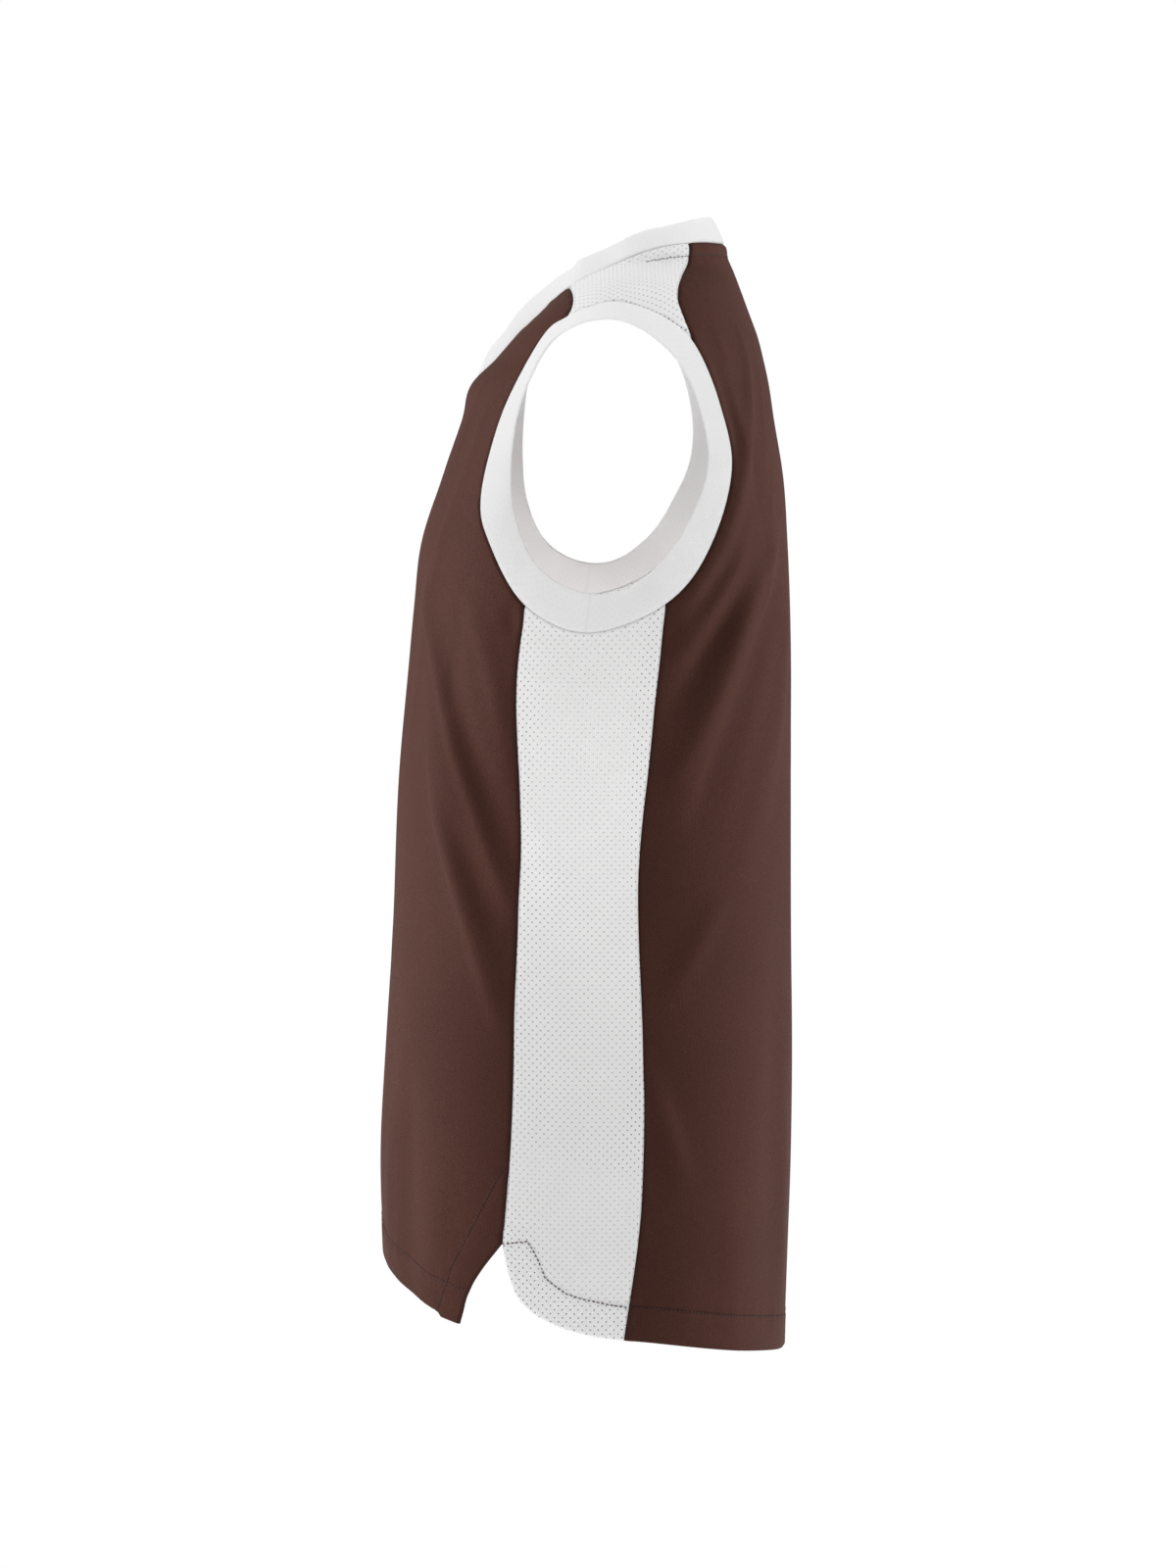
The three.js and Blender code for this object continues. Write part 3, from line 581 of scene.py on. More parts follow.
def armhole_top(share):
    return armhole_line(YOKE_FRONT_CORNER, YOKE_BACK_CORNER - len(ARMHOLE_SEAM), share)


def yoke_front_seam(share):
    return yoke_seam(YOKE_FRONT_ANGLE, YOKE_FRONT_SEAM, armhole_front, share)


def yoke_back_seam(share):
    return yoke_seam(YOKE_BACK_ANGLE, YOKE_BACK_SEAM, armhole_back, share)


print("Side seam places:", np.round(side_front_seam(np.array([0.0, 12, SIDE_ROWS])), 1).tolist())

# %% [markdown]
# ## The cut pieces
#
# Each piece is a four-sided grid between two long seams, bent to its bottom and top edges. The
# CAD walls use the same rule with coarse rows, about 15 to 25 mm apart. Here each row is split in
# five, and extra lines lie close to every edge, where the cloth rolls into its seam.


# %% Grids of places
FINE = 5
EDGE_SHARES = np.array([0, 0.02, 0.06, 0.14, 0.3])


def fine_lines(count):
    """Fractional line numbers from 0 to count, FINE to each one, closer together at both edges."""
    lines = np.linspace(0, count, count * FINE + 1)
    return np.unique(np.round(np.concatenate([lines, EDGE_SHARES, count - EDGE_SHARES]), 4))


def blend(a, b, t):
    return a + (b - a) * t


def piece_grid(rows, shares, left, right, bottom, top, reach):
    """A grid of places from its two long sides, bent to its bottom and top edges."""
    count = rows[-1]
    near_bottom = ease(np.clip(1 - rows / reach[0], 0, 1))[:, None, None]
    near_top = ease(np.clip(1 - (count - rows) / reach[1], 0, 1))[:, None, None]
    across = shares[None, :, None]
    place = blend(left[:, None], right[:, None], across)
    low = blend(left[0], right[0], across)
    high = blend(left[-1], right[-1], across)
    return place + (bottom - low) * near_bottom + (top - high) * near_top


def joined_rows(rows, *parts):
    """Places along a side that is sewn to one seam after another: (last row, places) each."""
    line = np.empty((len(rows), 2))
    first = 0
    for last, places in parts:
        here = (rows >= first) & (rows <= last)
        line[here] = places(rows[here] - first, last - first)
        first = last
    return line


FRONT_VENT_TOP = HEM_ROWS + VENT_ROWS
FRONT_UNDERARM = FRONT_VENT_TOP + SIDE_ROWS
FRONT_V = FRONT_UNDERARM + CHEST_ROWS
FRONT_ROWS = FRONT_V + NECK_ROWS
VENT_TOP_LINES = [FRONT_VENT_TOP - 0.1, FRONT_VENT_TOP + 0.1]
HEM_FOLD_LINES = 0.02 * np.arange(6)


def front_places():
    """The left half of the front, from its middle out to the side seam and armhole."""
    rows = np.unique(np.concatenate([fine_lines(FRONT_ROWS), VENT_TOP_LINES, HEM_FOLD_LINES]))
    shares = fine_lines(HALF_COLUMNS) / HALF_COLUMNS
    vent_length = VENT_EDGE[-1, 1] - FRONT_HEM_Z
    outer = joined_rows(
        rows,
        (FRONT_VENT_TOP, lambda row, _: whole_line(VENT_EDGE, hemmed_shares(vent_length, VENT_ROWS, row))),
        (FRONT_UNDERARM, lambda row, _: side_front_seam(row)),
        (FRONT_ROWS, lambda row, count: armhole_front(row / count)),
    )
    underarm_z = side_front_seam(np.array([float(SIDE_ROWS)]))[0, 1]
    up = (rows - FRONT_UNDERARM) / CHEST_ROWS
    chest_z = underarm_z + (NECK_SEAM[0, 1] - underarm_z) * up
    neck_angle = -90 + (YOKE_FRONT_ANGLE + 90) * np.clip(rows - FRONT_V, 0, None) / NECK_ROWS
    middle_z = np.where(rows <= FRONT_UNDERARM, outer[:, 1], chest_z)
    inner = np.stack([neck_angle, np.where(rows > FRONT_V, neck_seam_z(neck_angle), middle_z)], axis=-1)
    bottom = blend(inner[0], outer[0], shares[:, None])
    bottom[:, 1] += FRONT_HEM_RISE * np.cos(shares * math.pi / 2)
    return piece_grid(rows, shares, inner, outer, bottom, yoke_front_seam(shares), FRONT_REACH)


BACK_YOKE = SIDE_ROWS + ARMHOLE_BACK_ROWS
BACK_ROWS = BACK_YOKE + HALF_COLUMNS


def back_places():
    """The left half of the back, out to the side seam, the armhole and the yoke."""
    rows = fine_lines(BACK_ROWS)
    shares = fine_lines(HALF_COLUMNS) / HALF_COLUMNS
    outer = joined_rows(
        rows,
        (SIDE_ROWS, lambda row, _: side_back_seam(row)),
        (BACK_YOKE, lambda row, count: armhole_back(row / count)),
        (BACK_ROWS, lambda row, count: yoke_back_seam(1 - row / count)),
    )
    hem = np.stack([
        90 + (outer[0, 0] - 90) * shares,
        SIDE_HEM_Z - BACK_TAIL_DROP * np.cos(shares * math.pi / 2) ** BACK_TAIL_ROUNDNESS,
    ], axis=-1)
    hem_z = hem[0, 1] + HEM_WIDTH * np.interp(rows, range(HEM_ROWS + 1), HEM_SHARES)
    start = hem[0, 1] + HEM_WIDTH * HEM_SHARES[-1]
    above_z = start + (neck_seam_z(90) - start) * (rows - HEM_ROWS) / (BACK_ROWS - HEM_ROWS)
    inner = np.stack([np.full(len(rows), 90.0), np.where(rows <= HEM_ROWS, hem_z, above_z)], axis=-1)
    top = neck_line(90 + (YOKE_BACK_ANGLE - 90) * shares)
    return piece_grid(rows, shares, inner, outer, hem, top, BACK_REACH)


def side_places():
    """The left side panel, from its front seam to its back seam."""
    rows = fine_lines(SIDE_ROWS)
    shares = fine_lines(SIDE_COLUMNS) / SIDE_COLUMNS
    tail = whole_line(SIDE_TAIL, shares)
    underarm = armhole_under(shares)
    return piece_grid(rows, shares, side_front_seam(rows), side_back_seam(rows), tail, underarm, SIDE_REACH)


def yoke_places():
    """The left shoulder yoke, from the neck out to the armhole."""
    rows = fine_lines(YOKE_ROWS)
    shares = fine_lines(HALF_COLUMNS) / HALF_COLUMNS
    neck = neck_line(YOKE_FRONT_ANGLE + (YOKE_BACK_ANGLE - YOKE_FRONT_ANGLE) * rows / YOKE_ROWS)
    outer = armhole_top(rows / YOKE_ROWS)
    return piece_grid(rows, shares, neck, outer, yoke_front_seam(shares), yoke_back_seam(shares), YOKE_REACH)


print("Front half:", front_places().shape[:2], "rows and columns")

# %% [markdown]
# ## Where the cloth is sewn
#
# Two pieces are joined with a seam that pulls both edges inwards, so a seam shows as a soft
# groove. A turned-up hem is double, so it stands a little proud, and its lower edge is a fold, not
# a cut. To shape both, each point of a piece needs its distance to the nearest seam or hem. A
# k-d tree of closely spaced seam points answers that quickly. The same search tells how far along
# the seam a point lies, which places the small puckers that the thread draws.

# %% Seam distances
LINE_STEP = 0.4


def dense(places):
    """Points every LINE_STEP mm or so along a line of places."""
    points = cloth_at(places)
    lengths = np.concatenate([[0], np.cumsum(np.linalg.norm(np.diff(points, axis=0), axis=1))])
    at = np.linspace(0, lengths[-1], int(lengths[-1] / LINE_STEP) + 2)
    return np.stack([np.interp(at, lengths, points[:, k]) for k in range(3)], axis=-1)


def nearest(points, line):
    """Each point's distance to a dense line, and how far along the line its nearest point is."""
    tree = KDTree(len(line))
    for i, place in enumerate(line):
        tree.insert(place, i)
    tree.balance()
    found = [tree.find(point) for point in points.reshape(-1, 3)]
    distance = np.array([hit[2] for hit in found]).reshape(points.shape[:-1])
    along = LINE_STEP * np.array([hit[1] for hit in found]).reshape(points.shape[:-1])
    return distance, along


SHARES = np.linspace(0, 1, 161)
BODY_LINE = np.linspace(0, SIDE_ROWS, 201)
SEAMS = {
    "side_front": dense(side_front_seam(BODY_LINE)),
    "side_back": dense(side_back_seam(BODY_LINE)),
    "armhole": dense(armhole_line(0, len(ARMHOLE_SEAM), SHARES)),
    "yoke_front": dense(yoke_front_seam(SHARES)),
    "yoke_back": dense(yoke_back_seam(SHARES)),
    "neck": dense(neck_line(np.linspace(-90, 90, 161))),
}
print("Armhole seam:", round(LINE_STEP * len(SEAMS["armhole"])), "mm round")

# %% [markdown]
# ## What sewing does to the cloth
#
# The reliefs below are all small, from a tenth of a millimetre to one millimetre. Each is a bell
# or a step of the distance to a seam, so it fades out into smooth cloth.

# %% Relief of seams and hems
SEAM_DIP = 0.9
SEAM_ROLL = 1.1
PUCKER = 0.15
PUCKER_REACH = 7
HEM_STEP = 0.45
HEM_ROLL = 0.8
STITCH_GROOVE = 0.35
STITCH_NEARNESS = 0.6
NEAR_SEAM = 1.2
HEM_SPREAD = 1.16
HEM_SLOPE = 2


def bell(distance, reach):
    return np.exp(-((distance / reach) ** 2))


def pucker(along):
    """Uneven ripples along a seam: sines whose lengths don't fit each other."""
    return np.sin(along / 1.9) + 0.7 * np.sin(along / 3.1 + 1) + 0.8 * np.sin(along / 5.3 + 2)


def seam_ripple(distance, along):
    return PUCKER * pucker(along) * bell(distance, PUCKER_REACH)


class Relief:
    """How far sewing moves each point of a piece out, and how near to a seam each one is."""

    def __init__(self, points):
        self.points = points
        self.out = np.zeros(points.shape[:-1])
        self.near = np.zeros(points.shape[:-1])
        self.double = np.zeros(points.shape[:-1])

    def seams(self, *names):
        for name in names:
            distance, along = nearest(self.points, SEAMS[name])
            rolled = bell(distance, SEAM_ROLL)
            self.out += seam_ripple(distance, along) * (1 - rolled) - SEAM_DIP * rolled
            # Nearness to the seam, which the materials paint darker as painted shade
            self.near = np.maximum(self.near, bell(distance, NEAR_SEAM))

    def stitching(self, line):
        distance, along = nearest(self.points, line)
        self.out += seam_ripple(distance, along) - STITCH_GROOVE * bell(distance, SEAM_ROLL)
        # Stitching gets a weaker share of the same painted shade
        self.near = np.maximum(self.near, STITCH_NEARNESS * bell(distance, NEAR_SEAM))
        return distance

    def fold(self, line):
        distance, _ = nearest(self.points, line)
        self.out -= SEAM_DIP * bell(distance, HEM_ROLL)
        return distance

    def hem(self, edge, stitch):
        """A turned-up hem from its folded edge to its stitching."""
        to_edge = self.fold(edge)
        to_stitch = self.stitching(stitch)
        inside = to_edge + to_stitch < HEM_SPREAD * HEM_WIDTH
        self.out += HEM_STEP * inside * ease(np.clip(to_stitch / HEM_SLOPE, 0, 1))
        self.double = np.maximum(self.double, inside & (to_edge < HEM_WIDTH))


print("A seam dips", SEAM_DIP, "mm, a hem stands", HEM_STEP, "mm proud")

# %% [markdown]
# ## Sewing a sheet
#
# A flat bmesh grid is the uncut cloth. Each of its corners moves to its place on the hanging
# cloth, a UV layer remembers where it lay on the flat cloth, in metres, and the two halves of a
# front or a back are merged down the middle. A Solidify modifier gives the wall inwards, so that
# the outer face stays where the CAD has it.


# %% Cloth sheets
MERGE_WITHIN = 0.02


def ring_distance(angle, z, middle):
    """How far round the cloth a place lies from the line at the middle angle, at its height."""
    steps = 16
    total = np.zeros(angle.shape)
    before = cloth_point(np.full(angle.shape, float(middle)), z)
    for k in range(1, steps + 1):
        here = cloth_point(middle + (angle - middle) * k / steps, z)
        total += np.linalg.norm(here - before, axis=-1)
        before = here
    return total * np.sign(angle - middle)


def column_distance(points):
    """How far up its column each point of a grid lies, from the grid's first row."""
    steps = np.linalg.norm(np.diff(points, axis=0), axis=-1)
    return np.vstack([np.zeros(points.shape[1]), np.cumsum(steps, axis=0)])


def mirrored(places):
    return np.stack([180 - places[..., 0], places[..., 1]], axis=-1)


def mirror_x(points):
    return points * np.array([-1.0, 1, 1])


def new_cloth():
    """An empty bmesh with the layers that every piece of cloth has."""
    bm = bmesh.new()
    bm.loops.layers.uv.new("flat cloth")
    bm.verts.layers.deform.new()
    bm.verts.layers.float.new("seam")
    return bm


def laid_grid(bm, points, flat, wall, near, flip):
    """Adds a flat grid to a bmesh and moves its corners to their places on the hanging cloth."""
    rows, columns = points.shape[:2]
    made = bmesh.ops.create_grid(bm, x_segments=columns - 1, y_segments=rows - 1, size=0.5)
    flat_layer = bm.loops.layers.uv["flat cloth"]
    wall_layer = bm.verts.layers.deform.active
    seam_layer = bm.verts.layers.float["seam"]
    place = {}
    for vert in made["verts"]:
        i = round((vert.co.x + 0.5) * (columns - 1))
        j = round((vert.co.y + 0.5) * (rows - 1))
        place[vert] = (j, i)
        vert.co = points[j, i] * MM
        vert[wall_layer][0] = float(wall[j, i])
        vert[seam_layer] = float(near[j, i])
    faces = list({face for vert in made["verts"] for face in vert.link_faces})
    for face in faces:
        for loop in face.loops:
            loop[flat_layer].uv = flat[place[loop.vert]] * MM
    if flip:
        bmesh.ops.reverse_faces(bm, faces=faces)


def new_piece(name, bm):
    """A smooth mesh object at the origin from a bmesh."""
    mesh = bpy.data.meshes.new(name)
    bm.to_mesh(mesh)
    bm.free()
    for polygon in mesh.polygons:
        polygon.use_smooth = True
    piece = bpy.data.objects.new(name, mesh)
    bpy.context.scene.collection.objects.link(piece)
    return piece


def sewn_sheet(name, relief, halves):
    """A piece of cloth from one or two grids of places: (places, flat places, flip) each."""
    bm = new_cloth()
    wall = np.where(relief.double > 0.5, HEM_WALL, PANEL_WALL) / HEM_WALL
    for places, flat, flip in halves:
        angle, z = places[..., 0], places[..., 1]
        points = cloth_point(angle, z) + cloth_normal(angle, z) * relief.out[..., None]
        laid_grid(bm, points, flat, wall, relief.near, flip)
    bmesh.ops.remove_doubles(bm, verts=bm.verts, dist=MERGE_WITHIN * MM)
    piece = new_piece(name, bm)
    piece.vertex_groups.new(name="wall")
    solidify = piece.modifiers.new("Wall", "SOLIDIFY")
    solidify.thickness = HEM_WALL * MM
    solidify.offset = -1
    solidify.vertex_group = "wall"
    solidify.use_even_offset = True
    print(name, len(piece.data.polygons), "faces on its outer side")
    return piece


def hem_stitch_places(places):
    """The line that lies a hem's width up the cloth from a grid's first row."""
    up = column_distance(cloth_at(places))
    columns = range(places.shape[1])
    return np.array([[np.interp(HEM_WIDTH, up[:, i], places[:, i, k]) for k in (0, 1)] for i in columns])


LEFT_TO_RIGHT = np.array([-1, 1])

# %% [markdown]
# ## Front
#
# The front is knit, cut with a V neck. Its side seams stop 40 mm above the hem, and a curved edge
# with a stitched facing runs from there to the hem's corner. Where the facing is folded over the
# hem, the corner hangs a little lower.

# %% Front
VENT_STITCH = np.array([
    (-90, -611), (-83, -590), (-81, -581), (-72, -562), (-63, -543), (-53, -523), (-48, -515),
], float)
FACING_STEP = 0.4
FACING_SLOPE = 2.5
FACING_DROP = 2.2

front = front_places()
front_base = cloth_at(front)
front_stitch_places = hem_stitch_places(front)
vent_stitch_places = whole_line(VENT_STITCH, SHARES)

front_relief = Relief(front_base)
front_relief.seams("side_front", "armhole", "yoke_front", "neck")
front_relief.hem(dense(front[0]), dense(front_stitch_places))
front_relief.fold(dense(whole_line(VENT_EDGE, SHARES)))
to_vent_stitch = front_relief.stitching(dense(vent_stitch_places))
facing_y = np.interp(front_base[..., 2], VENT_STITCH[:, 1], VENT_STITCH[:, 0])
in_facing = (front_base[..., 1] > facing_y) & (front_base[..., 2] < VENT_STITCH[-1, 1])
facing_share = in_facing * ease(np.clip(to_vent_stitch / FACING_SLOPE, 0, 1))
front_relief.out += FACING_STEP * facing_share
low = ease(np.clip(1 - column_distance(front_base) / HEM_WIDTH, 0, 1))
front = front - np.stack([0 * low, FACING_DROP * low * facing_share], axis=-1)

front_flat = np.stack([
    ring_distance(front[..., 0], front[..., 1], -90), column_distance(front_base),
], axis=-1)
front_panel = sewn_sheet("jersey_front", front_relief, [
    (front, front_flat, False), (mirrored(front), front_flat * LEFT_TO_RIGHT, True),
])

# %% [markdown]
# ## Back
#
# The back is cut longer than the front and ends in a curved tail. Its upper edge is sewn to the
# neckband, and the two yokes are let in beside it. A row of stitching holds the neck seam down, a
# presser foot's width below the band, and runs on a little way over each yoke.

# %% Back
NECK_STITCH = 8


def neck_stitch_places(first_angle, last_angle, count):
    """Places of the stitching that lies NECK_STITCH mm below the neck seam."""
    angles = np.linspace(first_angle, last_angle, count)
    return np.stack([angles, neck_seam_z(angles) - NECK_STITCH], axis=-1)


back = back_places()
back_stitch_places = hem_stitch_places(back)
back_relief = Relief(cloth_at(back))
back_relief.seams("side_back", "armhole", "yoke_back", "neck")
back_relief.hem(dense(back[0]), dense(back_stitch_places))
back_neck_places = neck_stitch_places(YOKE_BACK_ANGLE, 90, 60)
back_relief.stitching(dense(back_neck_places))
back_flat = np.stack([
    ring_distance(back[..., 0], back[..., 1], 90), column_distance(back_relief.points),
], axis=-1)
back_panel = sewn_sheet("jersey_back", back_relief, [
    (back, back_flat, True), (mirrored(back), back_flat * LEFT_TO_RIGHT, False),
])

# %% [markdown]
# ## Side panels
#
# A panel of pinhole mesh runs down each side from the armhole band. Its lower front corner is
# rounded, because it forms one side of the vent, and its hem is stitched with brown thread: along
# the vent, up to a bar that closes the vent's top.

# %% Side panels
SIDE_STITCH = np.array([
    (-50, -561), (-41, -559), (-35, -558), (-32, -563), (-28, -571), (-25, -579), (-19, -584),
    (-13, -588), (-5, -591), (4, -593), (13, -595), (23.5, -597),
], float)
SIDE_BAR_POINTS = 2

side = side_places()
side_stitch_places = np.stack([side_place(SIDE_STITCH[:, 0], SIDE_STITCH[:, 1]), SIDE_STITCH[:, 1]], axis=-1)
side_relief = Relief(cloth_at(side))
side_relief.seams("side_front", "side_back", "armhole")
side_relief.hem(dense(side[0]), dense(side_stitch_places[SIDE_BAR_POINTS:]))
side_flat = np.stack([ring_distance(side[..., 0], side[..., 1], 0), side[..., 1] - SIDE_HEM_Z], axis=-1)
side_left = sewn_sheet("jersey_side_left", side_relief, [(side, side_flat, False)])
side_right = sewn_sheet("jersey_side_right", side_relief, [(mirrored(side), side_flat * LEFT_TO_RIGHT, True)])

# %% [markdown]
# ## Shoulder yokes
#
# The yokes are cut from the same mesh and join the front to the back over the shoulder. The row of
# stitching below the neckband starts on them, a little before the top of the shoulder.

# %% Shoulder yokes
YOKE_STITCH_ANGLE = 5

yoke = yoke_places()
yoke_relief = Relief(cloth_at(yoke))
yoke_relief.seams("yoke_front", "yoke_back", "armhole", "neck")
yoke_neck_places = neck_stitch_places(YOKE_STITCH_ANGLE, YOKE_BACK_ANGLE, 30)
yoke_relief.stitching(dense(yoke_neck_places))
yoke_steps = np.linalg.norm(np.diff(yoke_relief.points, axis=1), axis=-1)
yoke_across = np.hstack([np.zeros((len(yoke), 1)), np.cumsum(yoke_steps, axis=1)])
yoke_flat = np.stack([yoke_across, yoke_relief.points[..., 1]], axis=-1)
yoke_left = sewn_sheet("jersey_yoke_left", yoke_relief, [(yoke, yoke_flat, False)])
yoke_right = sewn_sheet("jersey_yoke_right", yoke_relief, [(mirrored(yoke), yoke_flat * LEFT_TO_RIGHT, True)])

# %% [markdown]
# ## Bands
#
# The neckband and the two armhole bands are strips of mesh, folded double along their free edge and
# sewn on along both raw edges. So each one is a closed tube with a flat section: up its outer
# side, round the fold, and down its inner side. The section is described by how far across the
# band a point lies and how far through it, and runs round the whole seam. The grid that makes it
# is merged with itself both ways, which leaves no open edge. The strip's two ends are joined by a
# short seam across it, under the arm or at the V.

# %% Bands
BAND_SECTION = np.array([
    # share across the band, depth through it in walls, puff outwards in mm
    (0, 0.35, -0.5), (0.015, 0.12, -0.2), (0.05, 0, 0.1), (0.13, 0, 0.3), (0.28, 0, 0.45),
    (0.45, 0, 0.5), (0.62, 0, 0.45), (0.8, 0, 0.3), (0.93, 0, 0.1), (0.985, 0.12, 0), (1, 0.5, 0),
    (0.985, 0.88, 0), (0.93, 1, 0), (0.8, 1, -0.15), (0.62, 1, -0.25), (0.45, 1, -0.25),
    (0.28, 1, -0.2), (0.13, 1, -0.1), (0.05, 1, 0), (0, 0.9, 0), (0, 0.35, -0.5),
])
BAND_STEP = 2.5
EVEN_POINTS = 4
JOIN_BREADTH = 1.6
JOIN_DIP = 0.4
JOIN_SHARE = 0.7


def closed(points):
    return np.concatenate([points, points[:1]])


def evened(directions, reach=EVEN_POINTS):
    """Directions along a closed line, each averaged with its neighbours up to reach away."""
    shifts = range(-reach, reach + 1)
    return unit(sum(np.roll(directions, shift, axis=0) for shift in shifts))


def band_piece(name, seam, free, seam_normals, ripple, join):
    """A double band from its closed seam line, its free edge, the cloth's directions there and
    the index of the place where its two ends are joined."""
    along = unit(np.roll(free, -1, axis=0) - np.roll(free, 1, axis=0))
    free_normals = closed(evened(unit(np.cross(along, free - seam))))
    seam_normals = evened(seam_normals)
    seam, free, seam_normals, ripple = (closed(part) for part in (seam, free, seam_normals, ripple))
    middle_steps = np.linalg.norm(np.diff((seam + free) / 2, axis=0), axis=1)
    around = np.concatenate([[0], np.cumsum(middle_steps)])
    width = np.linalg.norm(free - seam, axis=1).mean()
    share, depth, puff = (BAND_SECTION[:, k, None] for k in range(3))
    section_steps = np.hypot(np.diff(share[:, 0]) * width, np.diff(depth[:, 0]) * BAND_WALL)
    over = np.concatenate([[0], np.cumsum(section_steps)])
    normals = unit(blend(seam_normals, free_normals, ease(share)[..., None]))
    from_join = np.abs(around - around[join])
    at_join = bell(np.minimum(from_join, around[-1] - from_join), JOIN_BREADTH)
    out = puff - depth * BAND_WALL + ripple * np.sin(math.pi * share) * (1 - depth)
    out = out - JOIN_DIP * at_join * (1 - depth)
    points = blend(seam, free, share[..., None]) + normals * out[..., None]
    flat = np.stack(np.meshgrid(around, over), axis=-1)
    # Nearness to the seam and the join, which the material paints darker as painted shade
    near = np.maximum(bell(share * width, NEAR_SEAM), JOIN_SHARE * at_join)
    bm = new_cloth()
    laid_grid(bm, points, flat, near, near, False)
    bmesh.ops.remove_doubles(bm, verts=bm.verts, dist=MERGE_WITHIN * MM)
    piece = new_piece(name, bm)
    print(name, len(piece.data.polygons), "faces,", round(around[-1]), "mm round,", round(width, 1), "wide")
    return piece


# %% [markdown]
# ## Armhole bands
#
# Each band leans inwards from its seam all round the armhole. The table of its free edge is read
# by the direction round the armhole's centre, as on a clock. The band on the wearer's right
# stands a little more level over the shoulder than the left one does.


# %% Armhole bands
BAND_RIPPLE = 0.2
BAND_RIPPLE_STRETCH = 3


def even_places(parts):
    """Places every BAND_STEP mm or so along one seam after another, each a function of share."""
    line = []
    for seam_of in parts:
        steps = round(len(dense(seam_of(SHARES))) * LINE_STEP / BAND_STEP)
        line.append(seam_of(np.arange(steps) / steps))
    return np.vstack(line)


def armhole_band(name, column):
    """The band round one armhole. column is 1 on the left and 2 on the right."""
    places = even_places([
        armhole_under, armhole_back,
        lambda share: armhole_top(1 - share), lambda share: armhole_front(1 - share),
    ])
    if column == 2:
        places = mirrored(places[::-1])
    seam = cloth_at(places)
    off_y = seam[:, 1] - ARMHOLE_CENTRE_Y
    off_z = places[:, 1] - ARMHOLE_CENTRE_Z
    around = np.degrees(np.arctan2(off_z, off_y)) % 360
    reach = smooth_column(BAND_EDGE, column)(around) / np.hypot(off_y, off_z)
    across = smooth_column(BAND_EDGE, 3)(around)
    free_x = np.sign(seam[:, 0]) * across
    free_z = ARMHOLE_CENTRE_Z + off_z * reach
    free_z = free_z + right_rise(free_x, free_z)
    free = np.stack([free_x, ARMHOLE_CENTRE_Y + off_y * reach, free_z], axis=-1)
    ripple = BAND_RIPPLE * pucker(np.arange(len(seam)) * BAND_STEP / BAND_RIPPLE_STRETCH)
    normals = cloth_normal(places[:, 0], places[:, 1])
    return band_piece(name, seam, free, normals, ripple, int(np.argmin(seam[:, 2])))


band_left = armhole_band("jersey_armhole_band_left", 1)
band_right = armhole_band("jersey_armhole_band_right", 2)

# %% [markdown]
# ## Neckband
#
# The neckband stands up from its seam and leans towards the neck. At the V its two ends meet in a
# mitre, so the free edge there starts further up than the seam does.

# %% Neckband
NECK_POINTS = 131
NECK_EVEN_POINTS = 8


def mirror_after(points):
    """The left half of a closed line, from the V to the middle of the back, and then the right."""
    return np.vstack([points, mirror_x(points[1:-1][::-1])])


def mitred(edge, first_free):
    """Spreads the points of an edge that starts before the middle, so that it starts on it."""
    crossing = int(np.argmax(edge[:, 0] > 0))
    start = crossing - edge[crossing, 0] / (edge[crossing, 0] - edge[crossing - 1, 0])
    index = np.arange(len(edge), dtype=float)
    index[:first_free] = start + index[:first_free] * (first_free - start) / first_free
    spread = np.stack([np.interp(index, np.arange(len(edge)), edge[:, k]) for k in range(3)], axis=-1)
    spread[0, 0] = 0
    return spread


neck_angles = np.linspace(-90, 90, NECK_POINTS)
neck_seam = cloth_point(neck_angles, neck_seam_z(neck_angles))
neck_after = np.vstack([neck_seam[1:], mirror_x(neck_seam[-2:-1])])
neck_before = np.vstack([neck_seam[:1], neck_seam[:-1]])
neck_along = unit(neck_after - neck_before)
neck_inward = unit(np.stack([-neck_along[:, 1], neck_along[:, 0], np.zeros(NECK_POINTS)], axis=-1))
neck_inward = evened(mirror_after(neck_inward), NECK_EVEN_POINTS)[:NECK_POINTS]
neck_lean = np.radians(collar_lean(neck_angles))[:, None]
neck_rise = np.cos(neck_lean) * np.array([0, 0, 1.0]) + np.sin(neck_lean) * neck_inward
neck_rise = unit(neck_rise - neck_along * np.sum(neck_rise * neck_along, axis=1, keepdims=True))
neck_edge = mitred(neck_seam + neck_rise * COLLAR_WIDTH, int(np.argmax(neck_angles > YOKE_FRONT_ANGLE)))
neckband = band_piece(
    "jersey_neckband",
    mirror_after(neck_seam),
    mirror_after(neck_edge),
    mirror_after(cloth_normal(neck_angles, neck_seam_z(neck_angles))),
    np.zeros(2 * NECK_POINTS - 2),
    0,
)

# %% [markdown]
# ## Stitching
#
# A lockstitch shows as a row of short bars of thread that sink into the cloth at both ends. One
# bar is a small low-poly sphere drawn out along the row. Each row is joined into one mesh, and a
# search for the nearest point of the finished cloth lays every bar on it. The thread is brown,
# also where it crosses the white mesh, and thicker in the side panels' hems than elsewhere.

# %% Stitching
STITCH_LENGTH = 2.1
STITCH_PITCH = 2.7
THREAD = 0.55
SIDE_THREAD = 0.8
THREAD_RISE = 0.3
AHEAD = 0.5


def outer_face(piece):
    """A search tree of a piece's outer face, in metres."""
    vertices = [vertex.co for vertex in piece.data.vertices]
    return BVHTree.FromPolygons(vertices, [polygon.vertices for polygon in piece.data.polygons])


